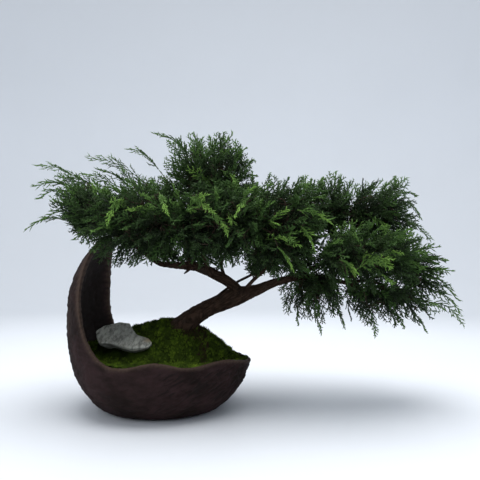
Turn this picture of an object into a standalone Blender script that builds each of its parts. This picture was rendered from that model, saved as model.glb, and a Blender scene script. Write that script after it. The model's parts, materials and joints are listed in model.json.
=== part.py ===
"""Chinese juniper bonsai that leans and sweeps to the right out of a crescent pot.

Metres, +Z up. The origin is the centre of the pot's flat underside, +X is to the right of the
front view and -Y is toward the viewer.
"""

import math
import random

import bmesh
import bpy
from mathutils import Vector, noise
from mathutils.bvhtree import BVHTree

MM = 0.001
CLEAR = 0.3 * MM                 # gap left between neighbouring solids
UP = Vector((0, 0, 1))

# Pot: an egg of revolution with a crescent opening cut through it from front to back.
POT_RADIUS = 101.8 * MM          # widest radius
POT_WIDEST = 108.0 * MM          # height of the widest ring
POT_TOP_HALF = 98.5 * MM         # from the widest ring up to the egg's crown point
POT_WALL = 6.5 * MM
POT_FLOOR = 9.0 * MM
POT_BELLY = 2.75                 # superellipse exponent of the lower half
POT_UNDERCUT = 11.3 * MM          # the egg would close this far under the floor
FOOT_RADIUS = 57.0 * MM
FOOT_BLEND = 2.5 * MM           # height where the foot's curve joins the belly
FOOT_BEND = (0.5, 0.5)           # of the way out and up between the foot and the belly
FOOT_INSET = 0.6                 # the hollow's floor is this share of the wall smaller
POT_STEPS = 32
GROUND_CELLS = 10

# Opening: a wavy rim, then an elliptical inner edge that climbs the horn. The cut falls toward the
# back and turns a little to the left there.
OPENING_FALL = math.radians(3.4)
OPENING_TURN = math.radians(2.5)
OPENING_PLACE = (-3.0 * MM, 0, -5.6 * MM)
RIM_HEIGHT = 58.3 * MM
RIM_WAVE = 2.5 * MM
RIM_WAVE_LENGTH = 63.0 * MM
RIM_WAVE_CREST = 68.0 * MM
HORN_CENTRE = (-30.1 * MM, 125.0 * MM)
HORN_HALF = (41.4 * MM, 69.5 * MM)
HORN_HALF_ABOVE = 90.0 * MM
HORN_TIP_HEIGHT = 190.0 * MM
HORN_TIP_CUT = 8.0 * MM          # the cut leaves the horn's tip this far to the right
OUTSIDE = 135.0 * MM             # reach of cutters past the egg
OUTSIDE_TOP = 220.0 * MM

# Ground inside the pot: soil under a carpet of moss that rises to the trunk's foot.
MOSS_EDGE = 54.8 * MM            # at the front
MOSS_RISE = 43.5 * MM
MOSS_THICK = 8.0 * MM
MOUND_CENTRE = (-4.0 * MM, 5.0 * MM)
MOUND_REACH = (88.0 * MM, 131.0 * MM, 58.0 * MM)   # right, left, front and back
MOUND_POWERS = (2.2, 1.0, 1.4)   # how steeply it falls each of those ways
MOSS_LUMP = (1.6 * MM, 17.0 * MM)
STONE_BANK = (1.6 * MM, 30.0 * MM)   # the moss swells this high and wide under the stone
GROUND_BASE = 2.0 * MM

# Flat foliated stone laid in the moss on the left, tilted to the viewer.
STONE_THICK = 10.0 * MM
STONE_CENTRE = (-34.0 * MM, -22.0 * MM, 73.8 * MM)
STONE_TILT = math.radians(23)
STONE_TURN = math.radians(-1)
STONE_HALF_WIDTH = 28.0 * MM
STONE_WEAR = 2.2 * MM            # of its edges
STONE_OUTLINE = (                # millimetres; points run round the slab
    (-38, 8), (-33, 20), (-16, 30), (-4, 27), (2, 14), (9, 2), (23, -5),
    (29, -15), (26, -23), (10, -28), (-4, -22), (-16, -16), (-26, -18), (-32, -7),
)

# Trunk and boughs: name, parent, and points of X, Y, Z and radius in millimetres.
TRUNK_CUT = 80.3 * MM
TRUNK = (
    (12, 0, 72, 19.0), (18, 0, 81, 15.5), (27, 0, 91, 12.0), (39.6, 0, 100, 10.4),
    (54.8, 0, 107, 9.8), (71.8, -1, 114.4, 10.6), (85.1, -2, 119.2, 10.0), (94.5, -3, 122.2, 7.9),
    (104.6, -4, 125.8, 6.6), (113.8, -5, 129.8, 5.8), (128, -7, 134.7, 4.8), (147.7, -9, 139.1, 4.0),
)
BOUGHS = (
    ("bough_left", "trunk",
     ((85, -1, 121, 6.6), (72.8, 2, 132.4, 6.3), (54.6, 6, 142.6, 6.3), (42, 8, 148.2, 6.2),
      (30.5, 9, 151.6, 5.7), (15.6, 10, 152.0, 4.6), (1.9, 10, 153.1, 3.8), (-9.5, 10, 155.6, 3.2),
      (-30, 8, 170, 2.4), (-48, 2, 184, 1.9), (-62, -5, 193, 1.5))),
    ("bough_right_low", "trunk",
     ((146, -9, 138.8, 3.6), (172, -8, 139, 3.2), (200.9, -6, 132.5, 2.4), (214, -5, 127, 1.8),
      (224, -5, 122, 1.5))),
    ("bough_right_high", "trunk",
     ((141, -8.5, 138, 3.0), (158, -8, 146.5, 3.0), (172.7, -6, 152.5, 2.8), (196, 0, 162.6, 2.5),
      (205.9, 3, 174, 2.2), (213, 4, 190, 1.8), (222, 4, 202, 1.5))),
    ("bough_left_outer", "bough_left",
     ((-30, 8, 170, 1.8), (-42, 16, 182, 1.7), (-56, 26, 196, 1.5), (-66, 30, 203, 1.3))),
    ("bough_left_front", "bough_left",
     ((-6, 10, 155, 2.0), (-10, -2, 159, 1.9), (-15, -15, 166, 1.6), (-19, -26, 174, 1.4))),
    ("bough_left_back", "bough_left",
     ((4, 10, 154, 2.0), (-3, 20, 162, 1.8), (-13, 28, 174, 1.6), (-20, 34, 186, 1.4))),
    ("bough_apex", "bough_left",
     ((29, 9, 153, 3.6), (22, 9, 169, 3.1), (26, 9, 190, 2.6), (36, 7, 210, 2.1), (41, 5, 226, 1.7))),
    ("bough_centre_front", "bough_left",
     ((52, 6, 144, 2.8), (44, 1, 158, 2.4), (45, -11, 170, 1.9), (51, -27, 179, 1.5))),
    ("bough_centre_back", "bough_left",
     ((68, 4, 136, 2.4), (63, 14, 150, 2.1), (62, 24, 166, 1.8), (64, 32, 182, 1.5))),
    ("bough_shoulder_front", "trunk",
     ((88, -4, 124, 2.4), (99, -13, 136, 2.2), (109, -21, 145, 1.8), (118, -28, 156, 1.6),
      (123, -33, 166, 1.4))),
    ("bough_shoulder_back", "trunk",
     ((50, 5, 110, 1.8), (64, 13, 122, 1.8), (80, 15, 133, 1.7), (98, 15, 142, 1.7),
      (114, 20, 150, 1.6), (124, 26, 160, 1.5), (130, 32, 170, 1.4))),
    ("bough_right_inner", "bough_right_high",
     ((196, 0, 163, 2.0), (191, 5, 177, 1.8), (188, 9, 193, 1.5))),
    ("bough_hanging", "bough_right_low",
     ((163, -8, 139, 1.9), (165.5, -6.5, 134.5, 1.7), (167.5, -4, 130.5, 1.4))),
    ("bough_right_front", "bough_right_low",
     ((198, -6, 133, 1.9), (204, -17, 139, 1.7), (208, -30, 147, 1.4))),
    ("bough_right_back", "bough_right_high",
     ((205.9, 3, 174, 1.9), (217, 14, 172, 1.7), (228, 24, 171, 1.4))),
    ("bough_right_tip", "bough_right_low",
     ((206, -6, 131, 1.8), (226, -3, 137, 1.7), (248, 0, 142, 1.6), (268, 0, 146, 1.4))),
)

# Foliage: each mass fills a rounded box. Centres, half sizes, sweep directions and tips of the long
# shoots are in millimetres.
MASSES = (
    dict(name="foliage_left_outer_front", bough="bough_left", centre=(-84, -26, 204), half=(36, 36, 37),
         sweep=(-1, -0.2, 0.1), twigs=4, core=0.6,
         shoots=((-154, -12, 191), (-142, -16, 222), (-149, -10, 242))),
    dict(name="foliage_left_outer_back", bough="bough_left_outer", centre=(-91, 32, 218), half=(42, 36, 38),
         sweep=(-1, 0.2, 0.3), twigs=4, core=0.6,
         shoots=((-149, 14, 268), (-95, 16, 276))),
    dict(name="foliage_left_front", bough="bough_left_front", centre=(-22, -50, 193), half=(54, 42, 44),
         sweep=(-0.8, -0.3, -0.1), twigs=6, core=0.78,
         shoots=((-84, -50, 178), (-60, -60, 166))),
    dict(name="foliage_left_back", bough="bough_left_back", centre=(-28, 46, 216), half=(56, 46, 48),
         sweep=(-0.8, 0.3, 0.3), twigs=6, core=0.78,
         shoots=((-48, 24, 286),)),
    dict(name="foliage_apex", bough="bough_apex", centre=(50, 0, 256), half=(46, 50, 42),
         sweep=(-0.2, 0, 1), twigs=6, core=0.78,
         shoots=((-17, 4, 307), (62, 0, 303), (12, -8, 290))),
    dict(name="foliage_centre_front", bough="bough_centre_front", centre=(62, -57, 193), half=(60, 40, 44),
         sweep=(0.2, -1, 0), twigs=6, core=0.8, shoots=()),
    dict(name="foliage_centre_back", bough="bough_centre_back", centre=(66, 54, 210), half=(60, 43, 48),
         sweep=(0.2, 1, 0.1), twigs=6, core=0.8, shoots=()),
    dict(name="foliage_shoulder_front", bough="bough_shoulder_front", centre=(127, -44, 190),
         half=(49, 42, 52), sweep=(0.7, -0.4, 0.1), twigs=6, core=0.78,
         shoots=((98, -20, 252),)),
    dict(name="foliage_shoulder_back", bough="bough_shoulder_back", centre=(134, 46, 196),
         half=(52, 46, 52), sweep=(0.7, 0.5, 0.2), twigs=6, core=0.78,
         shoots=((152, 20, 252),)),
    dict(name="foliage_right_inner", bough="bough_right_inner", centre=(186, 6, 218), half=(42, 48, 36),
         sweep=(0.5, 0, 0.7), twigs=4, core=0.64, shoots=((178, 6, 252),)),
    dict(name="foliage_right_upper", bough="bough_right_high", centre=(235, 0, 213), half=(47, 48, 37),
         sweep=(0.9, 0, 0.3), twigs=4, core=0.64, shoots=((258, 0, 252), (288, 0, 228))),
    dict(name="foliage_right_front", bough="bough_right_front", centre=(214, -48, 160), half=(54, 38, 36),
         sweep=(0.7, -0.6, -0.1), twigs=5, core=0.75, shoots=()),
    dict(name="foliage_right_back", bough="bough_right_back", centre=(244, 40, 172), half=(54, 42, 40),
         sweep=(0.8, 0.5, 0), twigs=5, core=0.75, shoots=()),
    dict(name="foliage_hanging", bough="bough_hanging", centre=(168, -3, 122), half=(40, 44, 32),
         sweep=(0.3, 0, -1), twigs=4, core=0.62, shoots=((172, -2, 76), (146, -4, 86), (198, -2, 83))),
    dict(name="foliage_right_low", bough="bough_right_low", centre=(246, -6, 116), half=(56, 44, 30),
         sweep=(0.8, 0, -0.6), twigs=4, core=0.62, shoots=((230, -6, 74), (286, -8, 80), (327, -12, 85))),
    dict(name="foliage_right_tip", bough="bough_right_tip", centre=(282, 0, 147), half=(31, 38, 36),
         sweep=(1, 0, -0.3), twigs=3, core=0.62, shoots=((336, 4, 96), (317, 0, 159), (300, 4, 180))),
)
FULLNESS = 3.0                   # exponent of the rounded box; 2 would be an ellipsoid
CELL_MARGIN = 0.4 * MM           # a mass keeps this far inside its own space
LIMB_MARGIN = 0.8 * MM           # and this far from limbs, pot and stone
BOX_SLACK = 1.03                 # and out to this share of its rounded box
CORE_LUMPS = (0.84, 1.14)        # least and most of a core's share
CORE_LEAST = 0.1
CORE_CLEAR = 0.8 * MM            # round a limb that runs through a mass's core
HEART_SHIFT = 6.0 * MM           # a stem ends this far past the middle, the way its mass sweeps
STEM_SHARE = 0.92                # of its bough's tip radius
STEM_TIP = 1.1 * MM
STEM_START = 1.5 * MM            # straight out of its bough
KNEE_LIFT = 0.18                 # of the way to the heart, along the bough's heading
TWIG_ROOTS = (0.55, 0.95)        # from a stem's knee to its heart
SHOOT_ROOT = 0.9
SHOOT_LIFT = 0.6                 # how far a shoot arches, next to a twig
SWEEP_PUSH = 3.0 * MM            # moves spray tips the way the mass sweeps
DRAW_IN = 0.93                   # one step of drawing a point into its mass
TWIG_RADIUS = (0.95 * MM, 0.6 * MM)
SPRAY_LONGEST = 44.0 * MM
SPRAY_SHORTEST = 18.0 * MM
SPRAY_TIP = 34.0 * MM            # the one at a shoot's end
SPRAY_SIDE = 30.0 * MM           # the ones along a shoot
SPRAY_WIDTH = 0.74               # of its length
SPRAY_THICK = 0.055              # of its length
SPRAYS_PER_TWIG = 3
SPRAY_PLACES = ((0.45, 1), (0.75, -1))   # on a shoot: share of its length, and side
SPRAY_ANGLE = math.radians(46)
SPRAY_ANGLE_SPREAD = (0.8, 1.2)
SPRAY_MIDDLE = 0.38
SPRAY_TRIES = 12
SPRAY_SHRINK = 0.95              # after each try
SPRAY_GAP = 0.22                 # between roots, as a share of the twig
SPRAY_LOW_ROOT = 0.45            # where a short one starts instead
SUNK = 0.6 * MM                  # a spray's root inside the end of its twig
TWIG_BEND = 0.10                 # of its length
TWIG_REACH = 0.55                # of the way from a mass's heart to its surface
SPRAY_EDGE = ((0.46, 1.0), (0.42, 0.42), (0.80, 0.72))   # tooth, notch and tooth
SEED = 41

# Colours and roughness.
CLAY = ((0.075, 0.052, 0.045), 0.85)
SOIL = ((0.06, 0.045, 0.03), 0.95)
MOSS = ((0.06, 0.12, 0.02), 0.9)
STONE = ((0.42, 0.46, 0.47), 0.7)
BARK = ((0.12, 0.07, 0.045), 0.9)
LEAF_COLOUR = (0.035, 0.10, 0.03)
LEAF_ROUGHNESS = 0.7
LEAF_SHADES = (0.85, 1.15)


def clear_scene():
    for obj in list(bpy.data.objects):
        bpy.data.objects.remove(obj, do_unlink=True)


def make_collection(name):
    collection = bpy.data.collections.new(name)
    bpy.context.scene.collection.children.link(collection)
    return collection


def material(name, colour, roughness=0.8, metallic=0.0):
    mat = bpy.data.materials.new(name)
    mat.use_nodes = True
    shader = mat.node_tree.nodes["Principled BSDF"]
    shader.inputs["Base Color"].default_value = (*colour, 1)
    shader.inputs["Roughness"].default_value = roughness
    shader.inputs["Metallic"].default_value = metallic
    mat.diffuse_color = (*colour, 1)
    return mat


def link(name, data, collection):
    obj = bpy.data.objects.new(name, data)
    collection.objects.link(obj)
    return obj


def from_bmesh(name, bm, collection):
    bmesh.ops.recalc_face_normals(bm, faces=bm.faces)
    mesh = bpy.data.meshes.new(name)
    bm.to_mesh(mesh)
    bm.free()
    return link(name, mesh, collection)


def evaluated_mesh(obj):
    bpy.context.view_layer.update()
    graph = bpy.context.evaluated_depsgraph_get()
    return bpy.data.meshes.new_from_object(obj.evaluated_get(graph))


def bake(obj):
    """Replace a curve or a modified object by its evaluated mesh, with caps welded."""
    name = obj.name
    mesh = evaluated_mesh(obj)
    bm = bmesh.new()
    bm.from_mesh(mesh)
    bmesh.ops.remove_doubles(bm, verts=bm.verts, dist=0.001 * MM)
    bmesh.ops.recalc_face_normals(bm, faces=bm.faces)
    bm.to_mesh(mesh)
    bm.free()
    result = link(name, mesh, obj.users_collection[0])
    result.matrix_world = obj.matrix_world
    bpy.data.objects.remove(obj, do_unlink=True)
    result.name = name
    return result


def boolean(obj, cutter, operation="DIFFERENCE", solver="EXACT"):
    """Apply one Boolean and remove its cutter."""
    modifier = obj.modifiers.new(operation.lower(), "BOOLEAN")
    modifier.operation = operation
    modifier.solver = solver
    modifier.object = cutter
    mesh = evaluated_mesh(obj)
    obj.modifiers.clear()
    obj.data = mesh
    bpy.data.objects.remove(cutter, do_unlink=True)


def bodies(bm):
    """Lists of faces, one for each connected shell."""
    found = []
    seen = set()
    for face in bm.faces:
        if face in seen:
            continue
        shell = []
        queue = [face]
        seen.add(face)
        while queue:
            current = queue.pop()
            shell.append(current)
            for edge in current.edges:
                for other in edge.link_faces:
                    if other not in seen:
                        seen.add(other)
                        queue.append(other)
        found.append(shell)
    return found


def keep_largest(obj):
    """Drop loose scraps and fill sealed hollows, both of which are shells of their own."""
    bm = bmesh.new()
    bm.from_mesh(obj.data)
    shells = bodies(bm)
    if len(shells) > 1:
        shells.sort(key=lambda shell: sum(face.calc_area() for face in shell))
        scrap = [face for shell in shells[:-1] for face in shell]
        bmesh.ops.delete(bm, geom=scrap, context="FACES")
    bmesh.ops.triangulate(bm, faces=[face for face in bm.faces if len(face.verts) > 3])
    bm.to_mesh(obj.data)
    bm.free()


def finish(obj, mat, smooth_angle=50):
    obj.data.materials.clear()
    obj.data.materials.append(mat)
    obj.data.shade_smooth()
    obj.data.set_sharp_from_angle(angle=math.radians(smooth_angle))
    return obj


# Pot

def egg_radius(height, inset=0.0):
    """Radius of the egg at a height; inset moves the whole surface inward."""
    radius = POT_RADIUS - inset
    rise = height - POT_WIDEST
    if rise >= 0:
        part = min(rise / (POT_TOP_HALF - inset), 1.0)
        return radius * math.sqrt(1 - part * part)
    part = min(-rise / (POT_WIDEST + POT_UNDERCUT - inset), 1.0)
    return radius * (1 - part ** POT_BELLY) ** (1 / POT_BELLY)


def egg(name, inset, floor, collection):
    """Closed egg with a flat floor: a profile turned about Z."""
    foot = FOOT_RADIUS - FOOT_INSET * inset
    heights = [POT_WIDEST + (POT_TOP_HALF - inset) * math.cos(math.radians(a)) for a in range(0, 91, 15)]
    lower = 6
    shoulder = floor + FOOT_BLEND
    heights += [POT_WIDEST + (shoulder - POT_WIDEST) * math.sin(math.radians(90 * k / lower))
                for k in range(1, lower + 1)]
    profile = [(egg_radius(height, inset), height) for height in heights]
    last = profile[-1][0]
    bend = (foot + (last - foot) * FOOT_BEND[0], floor + FOOT_BLEND * FOOT_BEND[1])
    profile += [bend, (foot, floor), (0.0, floor)]
    mesh = bpy.data.meshes.new(name)
    mesh.from_pydata([(r, 0, z) for r, z in profile], [(k, k + 1) for k in range(len(profile) - 1)], [])
    obj = link(name, mesh, collection)
    screw = obj.modifiers.new("turn", "SCREW")
    screw.axis = "Z"
    screw.steps = POT_STEPS
    screw.render_steps = POT_STEPS
    screw.use_merge_vertices = True
    screw.merge_threshold = 0.01 * MM
    return bake(obj)


def opening_outline():
    """The opening seen from the front, as X and Z pairs."""
    points = []
    start = HORN_CENTRE[0]
    steps = 24
    for k in range(steps + 1):
        x = OUTSIDE + (start - OUTSIDE) * k / steps
        wave = math.cos(2 * math.pi * (x - RIM_WAVE_CREST) / RIM_WAVE_LENGTH)
        points.append((x, RIM_HEIGHT + RIM_WAVE * wave))
    end = math.asin((HORN_TIP_HEIGHT - HORN_CENTRE[1]) / HORN_HALF_ABOVE)
    first = -math.pi / 2
    arc = 16
    for k in range(1, arc + 1):
        angle = first + (end - first) * k / arc
        rise = HORN_HALF[1] if angle < 0 else HORN_HALF_ABOVE
        points.append((HORN_CENTRE[0] - HORN_HALF[0] * math.cos(angle),
                       HORN_CENTRE[1] + rise * math.sin(angle)))
    points.append((points[-1][0] + HORN_TIP_CUT, OUTSIDE_TOP))
    points.append((OUTSIDE, OUTSIDE_TOP))
    return points


def flat_outline(name, points, depth, collection):
    """Closed 2-D outline, extruded both ways along its own Z."""
    curve = bpy.data.curves.new(name, "CURVE")
    curve.dimensions = "2D"
    curve.fill_mode = "BOTH"
    curve.extrude = depth / 2
    spline = curve.splines.new("POLY")
    spline.points.add(len(points) - 1)
    for point, (x, y) in zip(spline.points, points):
        point.co = (x, y, 0, 1)
    spline.use_cyclic_u = True
    return link(name, curve, collection)


def build_pot(collection):
    pot = egg("pot", 0.0, 0.0, collection)
    boolean(pot, egg("pot_inside", POT_WALL, POT_FLOOR, collection))
    opening = flat_outline("pot_opening", opening_outline(), 2 * OUTSIDE, collection)
    opening.rotation_euler = (math.radians(90) - OPENING_FALL, 0, OPENING_TURN)
    opening.location = OPENING_PLACE
    boolean(pot, bake(opening))
    keep_largest(pot)
    return finish(pot, material("pot", *CLAY))


# Ground

def moss_height(x, y):
    dx = x - MOUND_CENTRE[0]
    side = 0 if dx > 0 else 1
    across = (abs(dx) / MOUND_REACH[side]) ** MOUND_POWERS[side]
    along = (abs(y - MOUND_CENTRE[1]) / MOUND_REACH[2]) ** MOUND_POWERS[2]
    edge = MOSS_EDGE - math.tan(OPENING_FALL) * (y + POT_RADIUS)
    away = math.hypot(x - STONE_CENTRE[0], y - STONE_CENTRE[1]) / STONE_BANK[1]
    bank = STONE_BANK[0] * math.exp(-away * away)
    lumps = MOSS_LUMP[0] * noise.noise(Vector((x, y, 0)) / MOSS_LUMP[1])
    return edge + MOSS_RISE * max(0.0, 1 - across - along) + bank + lumps


def ground_block(name, top, bottom, collection):
    """A slab over the pot's whole plan between two height functions."""
    bm = bmesh.new()
    bmesh.ops.create_grid(bm, x_segments=GROUND_CELLS, y_segments=GROUND_CELLS, size=POT_RADIUS + 4 * MM)
    lid = list(bm.faces)
    base = bmesh.ops.extrude_face_region(bm, geom=lid)
    for element in base["geom"]:
        if isinstance(element, bmesh.types.BMVert):
            element.co.z = -1
    for vert in bm.verts:
        rule = bottom if vert.co.z < 0 else top
        vert.co.z = rule(vert.co.x, vert.co.y)
    return from_bmesh(name, bm, collection)


def stone_slab(name, grow, collection):
    """Tilted slab with worn edges; grow widens it into a cutter for its bed."""
    scale = 1 + grow / STONE_HALF_WIDTH
    outline = [(x * MM * scale, y * MM * scale) for x, y in STONE_OUTLINE]
    slab = flat_outline(name, outline, STONE_THICK + 2 * grow, collection)
    slab.location = STONE_CENTRE
    slab.rotation_euler = (STONE_TILT, 0, STONE_TURN)
    slab = bake(slab)
    bevel = slab.modifiers.new("worn", "BEVEL")
    bevel.width = STONE_WEAR
    bevel.segments = 2
    bevel.angle_limit = math.radians(50)
    bevel.limit_method = "ANGLE"
    return bake(slab)


def build_ground(collection, trunk_cutter):
    """Soil body, moss carpet and stone, each cut clear of what stands in it."""
    floor = POT_FLOOR + CLEAR
    soil = ground_block("soil", lambda x, y: moss_height(x, y) - MOSS_THICK,
                        lambda x, y: GROUND_BASE, collection)
    boolean(soil, egg("soil_bound", POT_WALL + CLEAR, floor, collection), "INTERSECT")
    moss = ground_block("moss", moss_height,
                        lambda x, y: moss_height(x, y) - MOSS_THICK + CLEAR, collection)
    boolean(moss, egg("moss_bound", POT_WALL + CLEAR, floor, collection), "INTERSECT")
    for obj in (soil, moss):
        boolean(obj, trunk_cutter(), solver="MANIFOLD")
        boolean(obj, stone_slab("stone_bed", CLEAR, collection), solver="MANIFOLD")
        keep_largest(obj)
    stone = stone_slab("stone", 0.0, collection)
    finish(soil, material("soil", *SOIL))
    finish(moss, material("moss", *MOSS))
    finish(stone, material("stone", *STONE), 30)
    return [soil, moss, stone]


# Limbs

def smooth_path(points, per_span):
    """Catmull-Rom curve through points of X, Y, Z and radius in millimetres."""
    knots = [Vector(point) * MM for point in points]
    knots = [knots[0] * 2 - knots[1]] + knots + [knots[-1] * 2 - knots[-2]]
    path = []
    for a, b, c, d in zip(knots, knots[1:], knots[2:], knots[3:]):
        for k in range(per_span):
            t = k / per_span
            path.append(0.5 * (2 * b + (c - a) * t + (2 * a - 5 * b + 4 * c - d) * t * t
                               + (3 * b - a - 3 * c + d) * t ** 3))
    path.append(knots[-2])
    return path


def limb(name, points, sides_level, per_span, collection, grow=0.0):
    """One tapering limb; grow widens and lengthens it into a cutter."""
    path = smooth_path(points, per_span)
    if grow:
        ahead = (path[-1] - path[-2]).to_3d().normalized() * grow
        behind = (path[0] - path[1]).to_3d().normalized() * grow
        path[-1] = path[-1] + ahead.to_4d() - Vector((0, 0, 0, 1))
        path[0] = path[0] + behind.to_4d() - Vector((0, 0, 0, 1))
    curve = bpy.data.curves.new(name, "CURVE")
    curve.dimensions = "3D"
    curve.bevel_depth = 1.0
    curve.bevel_resolution = sides_level
    curve.use_fill_caps = True
    spline = curve.splines.new("POLY")
    spline.points.add(len(path) - 1)
    for point, (x, y, z, radius) in zip(spline.points, path):
        point.co = (x, y, z, 1)
        point.radius = radius + grow
    return bake(link(name, curve, collection))


def level_cutter(collection, height):
    """Block that takes away everything under a height."""
    bm = bmesh.new()
    bmesh.ops.create_cube(bm, size=2 * OUTSIDE)
    for vert in bm.verts:
        vert.co.z += height - OUTSIDE
    return from_bmesh("level", bm, collection)


def trunk_solid(collection, grow=0.0):
    trunk = limb("trunk", TRUNK, 3, 1, collection, grow)
    boolean(trunk, level_cutter(collection, TRUNK_CUT - grow))
    return trunk


def bough_points(name):
    return next(entry[2] for entry in BOUGHS if entry[0] == name)


def limb_cutter(name, collection, grow):
    """The trunk or a bough, widened into a cutter."""
    if name == "trunk":
        return trunk_solid(collection, grow)
    return limb("cutter", bough_points(name), 1, 2, collection, grow)


def build_limbs(collection):
    """Trunk first, then boughs, each cut clear of every limb before it."""
    trunk = trunk_solid(collection)
    limbs = {"trunk": trunk}
    for name, parent, points in BOUGHS:
        bough = limb(name, points, 1, 2, collection)
        for other in limbs:
            if not boxes_meet(bough, limbs[other]):
                continue
            boolean(bough, limb_cutter(other, collection, CLEAR))
        keep_largest(bough)
        limbs[name] = bough
    keep_largest(trunk)
    bark = material("bark", *BARK)
    for obj in limbs.values():
        finish(obj, bark)
    return limbs


def boxes_meet(first, second):
    def box(obj):
        corners = [vert.co for vert in obj.data.vertices]
        return ([min(c[k] for c in corners) for k in range(3)],
                [max(c[k] for c in corners) for k in range(3)])
    (low_a, high_a), (low_b, high_b) = box(first), box(second)
    return all(low_a[k] - MM < high_b[k] and low_b[k] - MM < high_a[k] for k in range(3))


# Foliage

def box_share(offset, half):
    """How far out a point is in a rounded box: nought at its middle and one on its surface."""
    return sum(abs(offset[k] / half[k]) ** FULLNESS for k in range(3)) ** (1 / FULLNESS)


def toward(spec, direction):
    """Reach of a mass's rounded box along a unit direction."""
    return 1 / box_share(direction, Vector(spec["half"]) * MM)


def cell_planes(spec):
    """Planes that part a mass from its neighbours, as points and outward normals."""
    planes = []
    centre = Vector(spec["centre"]) * MM
    for other in MASSES:
        if other is spec:
            continue
        line = Vector(other["centre"]) * MM - centre
        distance = line.length
        normal = line / distance
        own = toward(spec, normal)
        theirs = toward(other, normal)
        planes.append((centre + normal * (distance * own / (own + theirs) - CELL_MARGIN), normal))
    return planes


def spread(count, rng):
    """Unit vectors spread evenly over a sphere by the golden angle."""
    golden = math.pi * (3 - math.sqrt(5))
    turn = rng.uniform(0, math.tau)
    for k in range(count):
        z = 1 - 2 * (k + 0.5) / count
        ring = math.sqrt(1 - z * z)
        yield Vector((ring * math.cos(turn + golden * k), ring * math.sin(turn + golden * k), z))


class Space:
    """The space one mass keeps to: between its planes and clear of limbs, pot and stone."""

    def __init__(self, spec, obstacles):
        self.centre = Vector(spec["centre"]) * MM
        self.half = Vector(spec["half"]) * MM
        self.planes = cell_planes(spec)
        self.obstacles = obstacles
        self.fans = []
        self.twigs = []

    def inside_planes(self, point):
        return all((point - origin).dot(normal) < 0 for origin, normal in self.planes)

    def inside_box(self, point):
        return box_share(point - self.centre, self.half) < BOX_SLACK

    def near_limb(self, points, margin=LIMB_MARGIN):
        for point in points:
            hit = self.obstacles.find_nearest(point, margin)
            if hit[0] is not None:
                return True
        for a, b in zip(points, points[1:]):
            line = b - a
            if line.length > 0 and self.obstacles.ray_cast(a, line.normalized(), line.length)[0]:
                return True
        return False

    def admits(self, points, free=False, margin=LIMB_MARGIN):
        if not all(self.inside_planes(point) for point in points):
            return False
        if not free and not all(self.inside_box(point) for point in points):
            return False
        return not self.near_limb(points, margin)

    def on_surface(self, direction):
        """The point of the rounded box's surface that a direction leads to."""
        ray = Vector([direction[k] * self.half[k] for k in range(3)])
        return self.centre + ray / box_share(ray, self.half)

    def fan(self, outline, middle):
        """Flat tree of a spray without its root, for telling whether sprays cross."""
        count = len(outline)
        faces = [(k, (k + 1) % count, count) for k in range(1, count - 1)]
        return BVHTree.FromPolygons(outline + [middle], faces)

    def crowded(self, outline, middle, own):
        """Whether a spray crosses a limb, another spray or another twig."""
        fan = self.fan(outline, middle)
        if self.obstacles.overlap(fan) or any(fan.overlap(other) for other in self.fans):
            return True
        for twig in self.twigs:
            if twig is own:
                continue
            for a, b in zip(twig["path"], twig["path"][1:]):
                line = b - a
                if fan.ray_cast(a, line.normalized(), line.length)[0]:
                    return True
        return False

    def pulled_in(self, target):
        """The target, drawn toward the centre until it is inside."""
        point = target.copy()
        for _ in range(20):
            if self.inside_planes(point) and self.inside_box(point):
                return point
            point = self.centre + (point - self.centre) * DRAW_IN
        return point


def twig_section():
    """Triangle that a twig's curve is swept with."""
    curve = bpy.data.curves.new("twig_section", "CURVE")
    curve.dimensions = "2D"
    spline = curve.splines.new("POLY")
    spline.points.add(2)
    for k, point in enumerate(spline.points):
        angle = math.tau * k / 3
        point.co = (math.cos(angle), math.sin(angle), 0, 1)
    spline.use_cyclic_u = True
    section = link("twig_section", curve, bpy.context.scene.collection)
    section.hide_render = True
    return section


def twig_piece(name, path, radii, section, collection):
    """A tapering three-sided twig along a few points."""
    curve = bpy.data.curves.new(name, "CURVE")
    curve.dimensions = "3D"
    curve.bevel_mode = "OBJECT"
    curve.bevel_object = section
    curve.use_fill_caps = True
    spline = curve.splines.new("POLY")
    spline.points.add(len(path) - 1)
    for k, point in enumerate(spline.points):
        point.co = (*path[k], 1)
        point.radius = radii[0] + (radii[1] - radii[0]) * k / (len(path) - 1)
    return bake(link(name, curve, collection))


def spray_points(root, along, across, length):
    """Outline of a toothed spray from its root to its tip and back."""
    reach = SPRAY_WIDTH / 2
    side = [root + along * (length * x) + across * (length * y * reach) for x, y in SPRAY_EDGE]
    back = [root + along * (length * x) - across * (length * y * reach) for x, y in SPRAY_EDGE]
    return [root] + side + [root + along * length] + back[::-1]


def spray_piece(outline, middle, normal, thick, collection):
    """A toothed spray, thickest at its middle."""
    bm = bmesh.new()
    ring = [bm.verts.new(point) for point in outline]
    caps = [bm.verts.new(middle + normal * thick / 2), bm.verts.new(middle - normal * thick / 2)]
    for a, b in zip(ring, ring[1:] + ring[:1]):
        bm.faces.new((a, b, caps[0]))
        bm.faces.new((b, a, caps[1]))
    return from_bmesh("spray", bm, collection)


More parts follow.
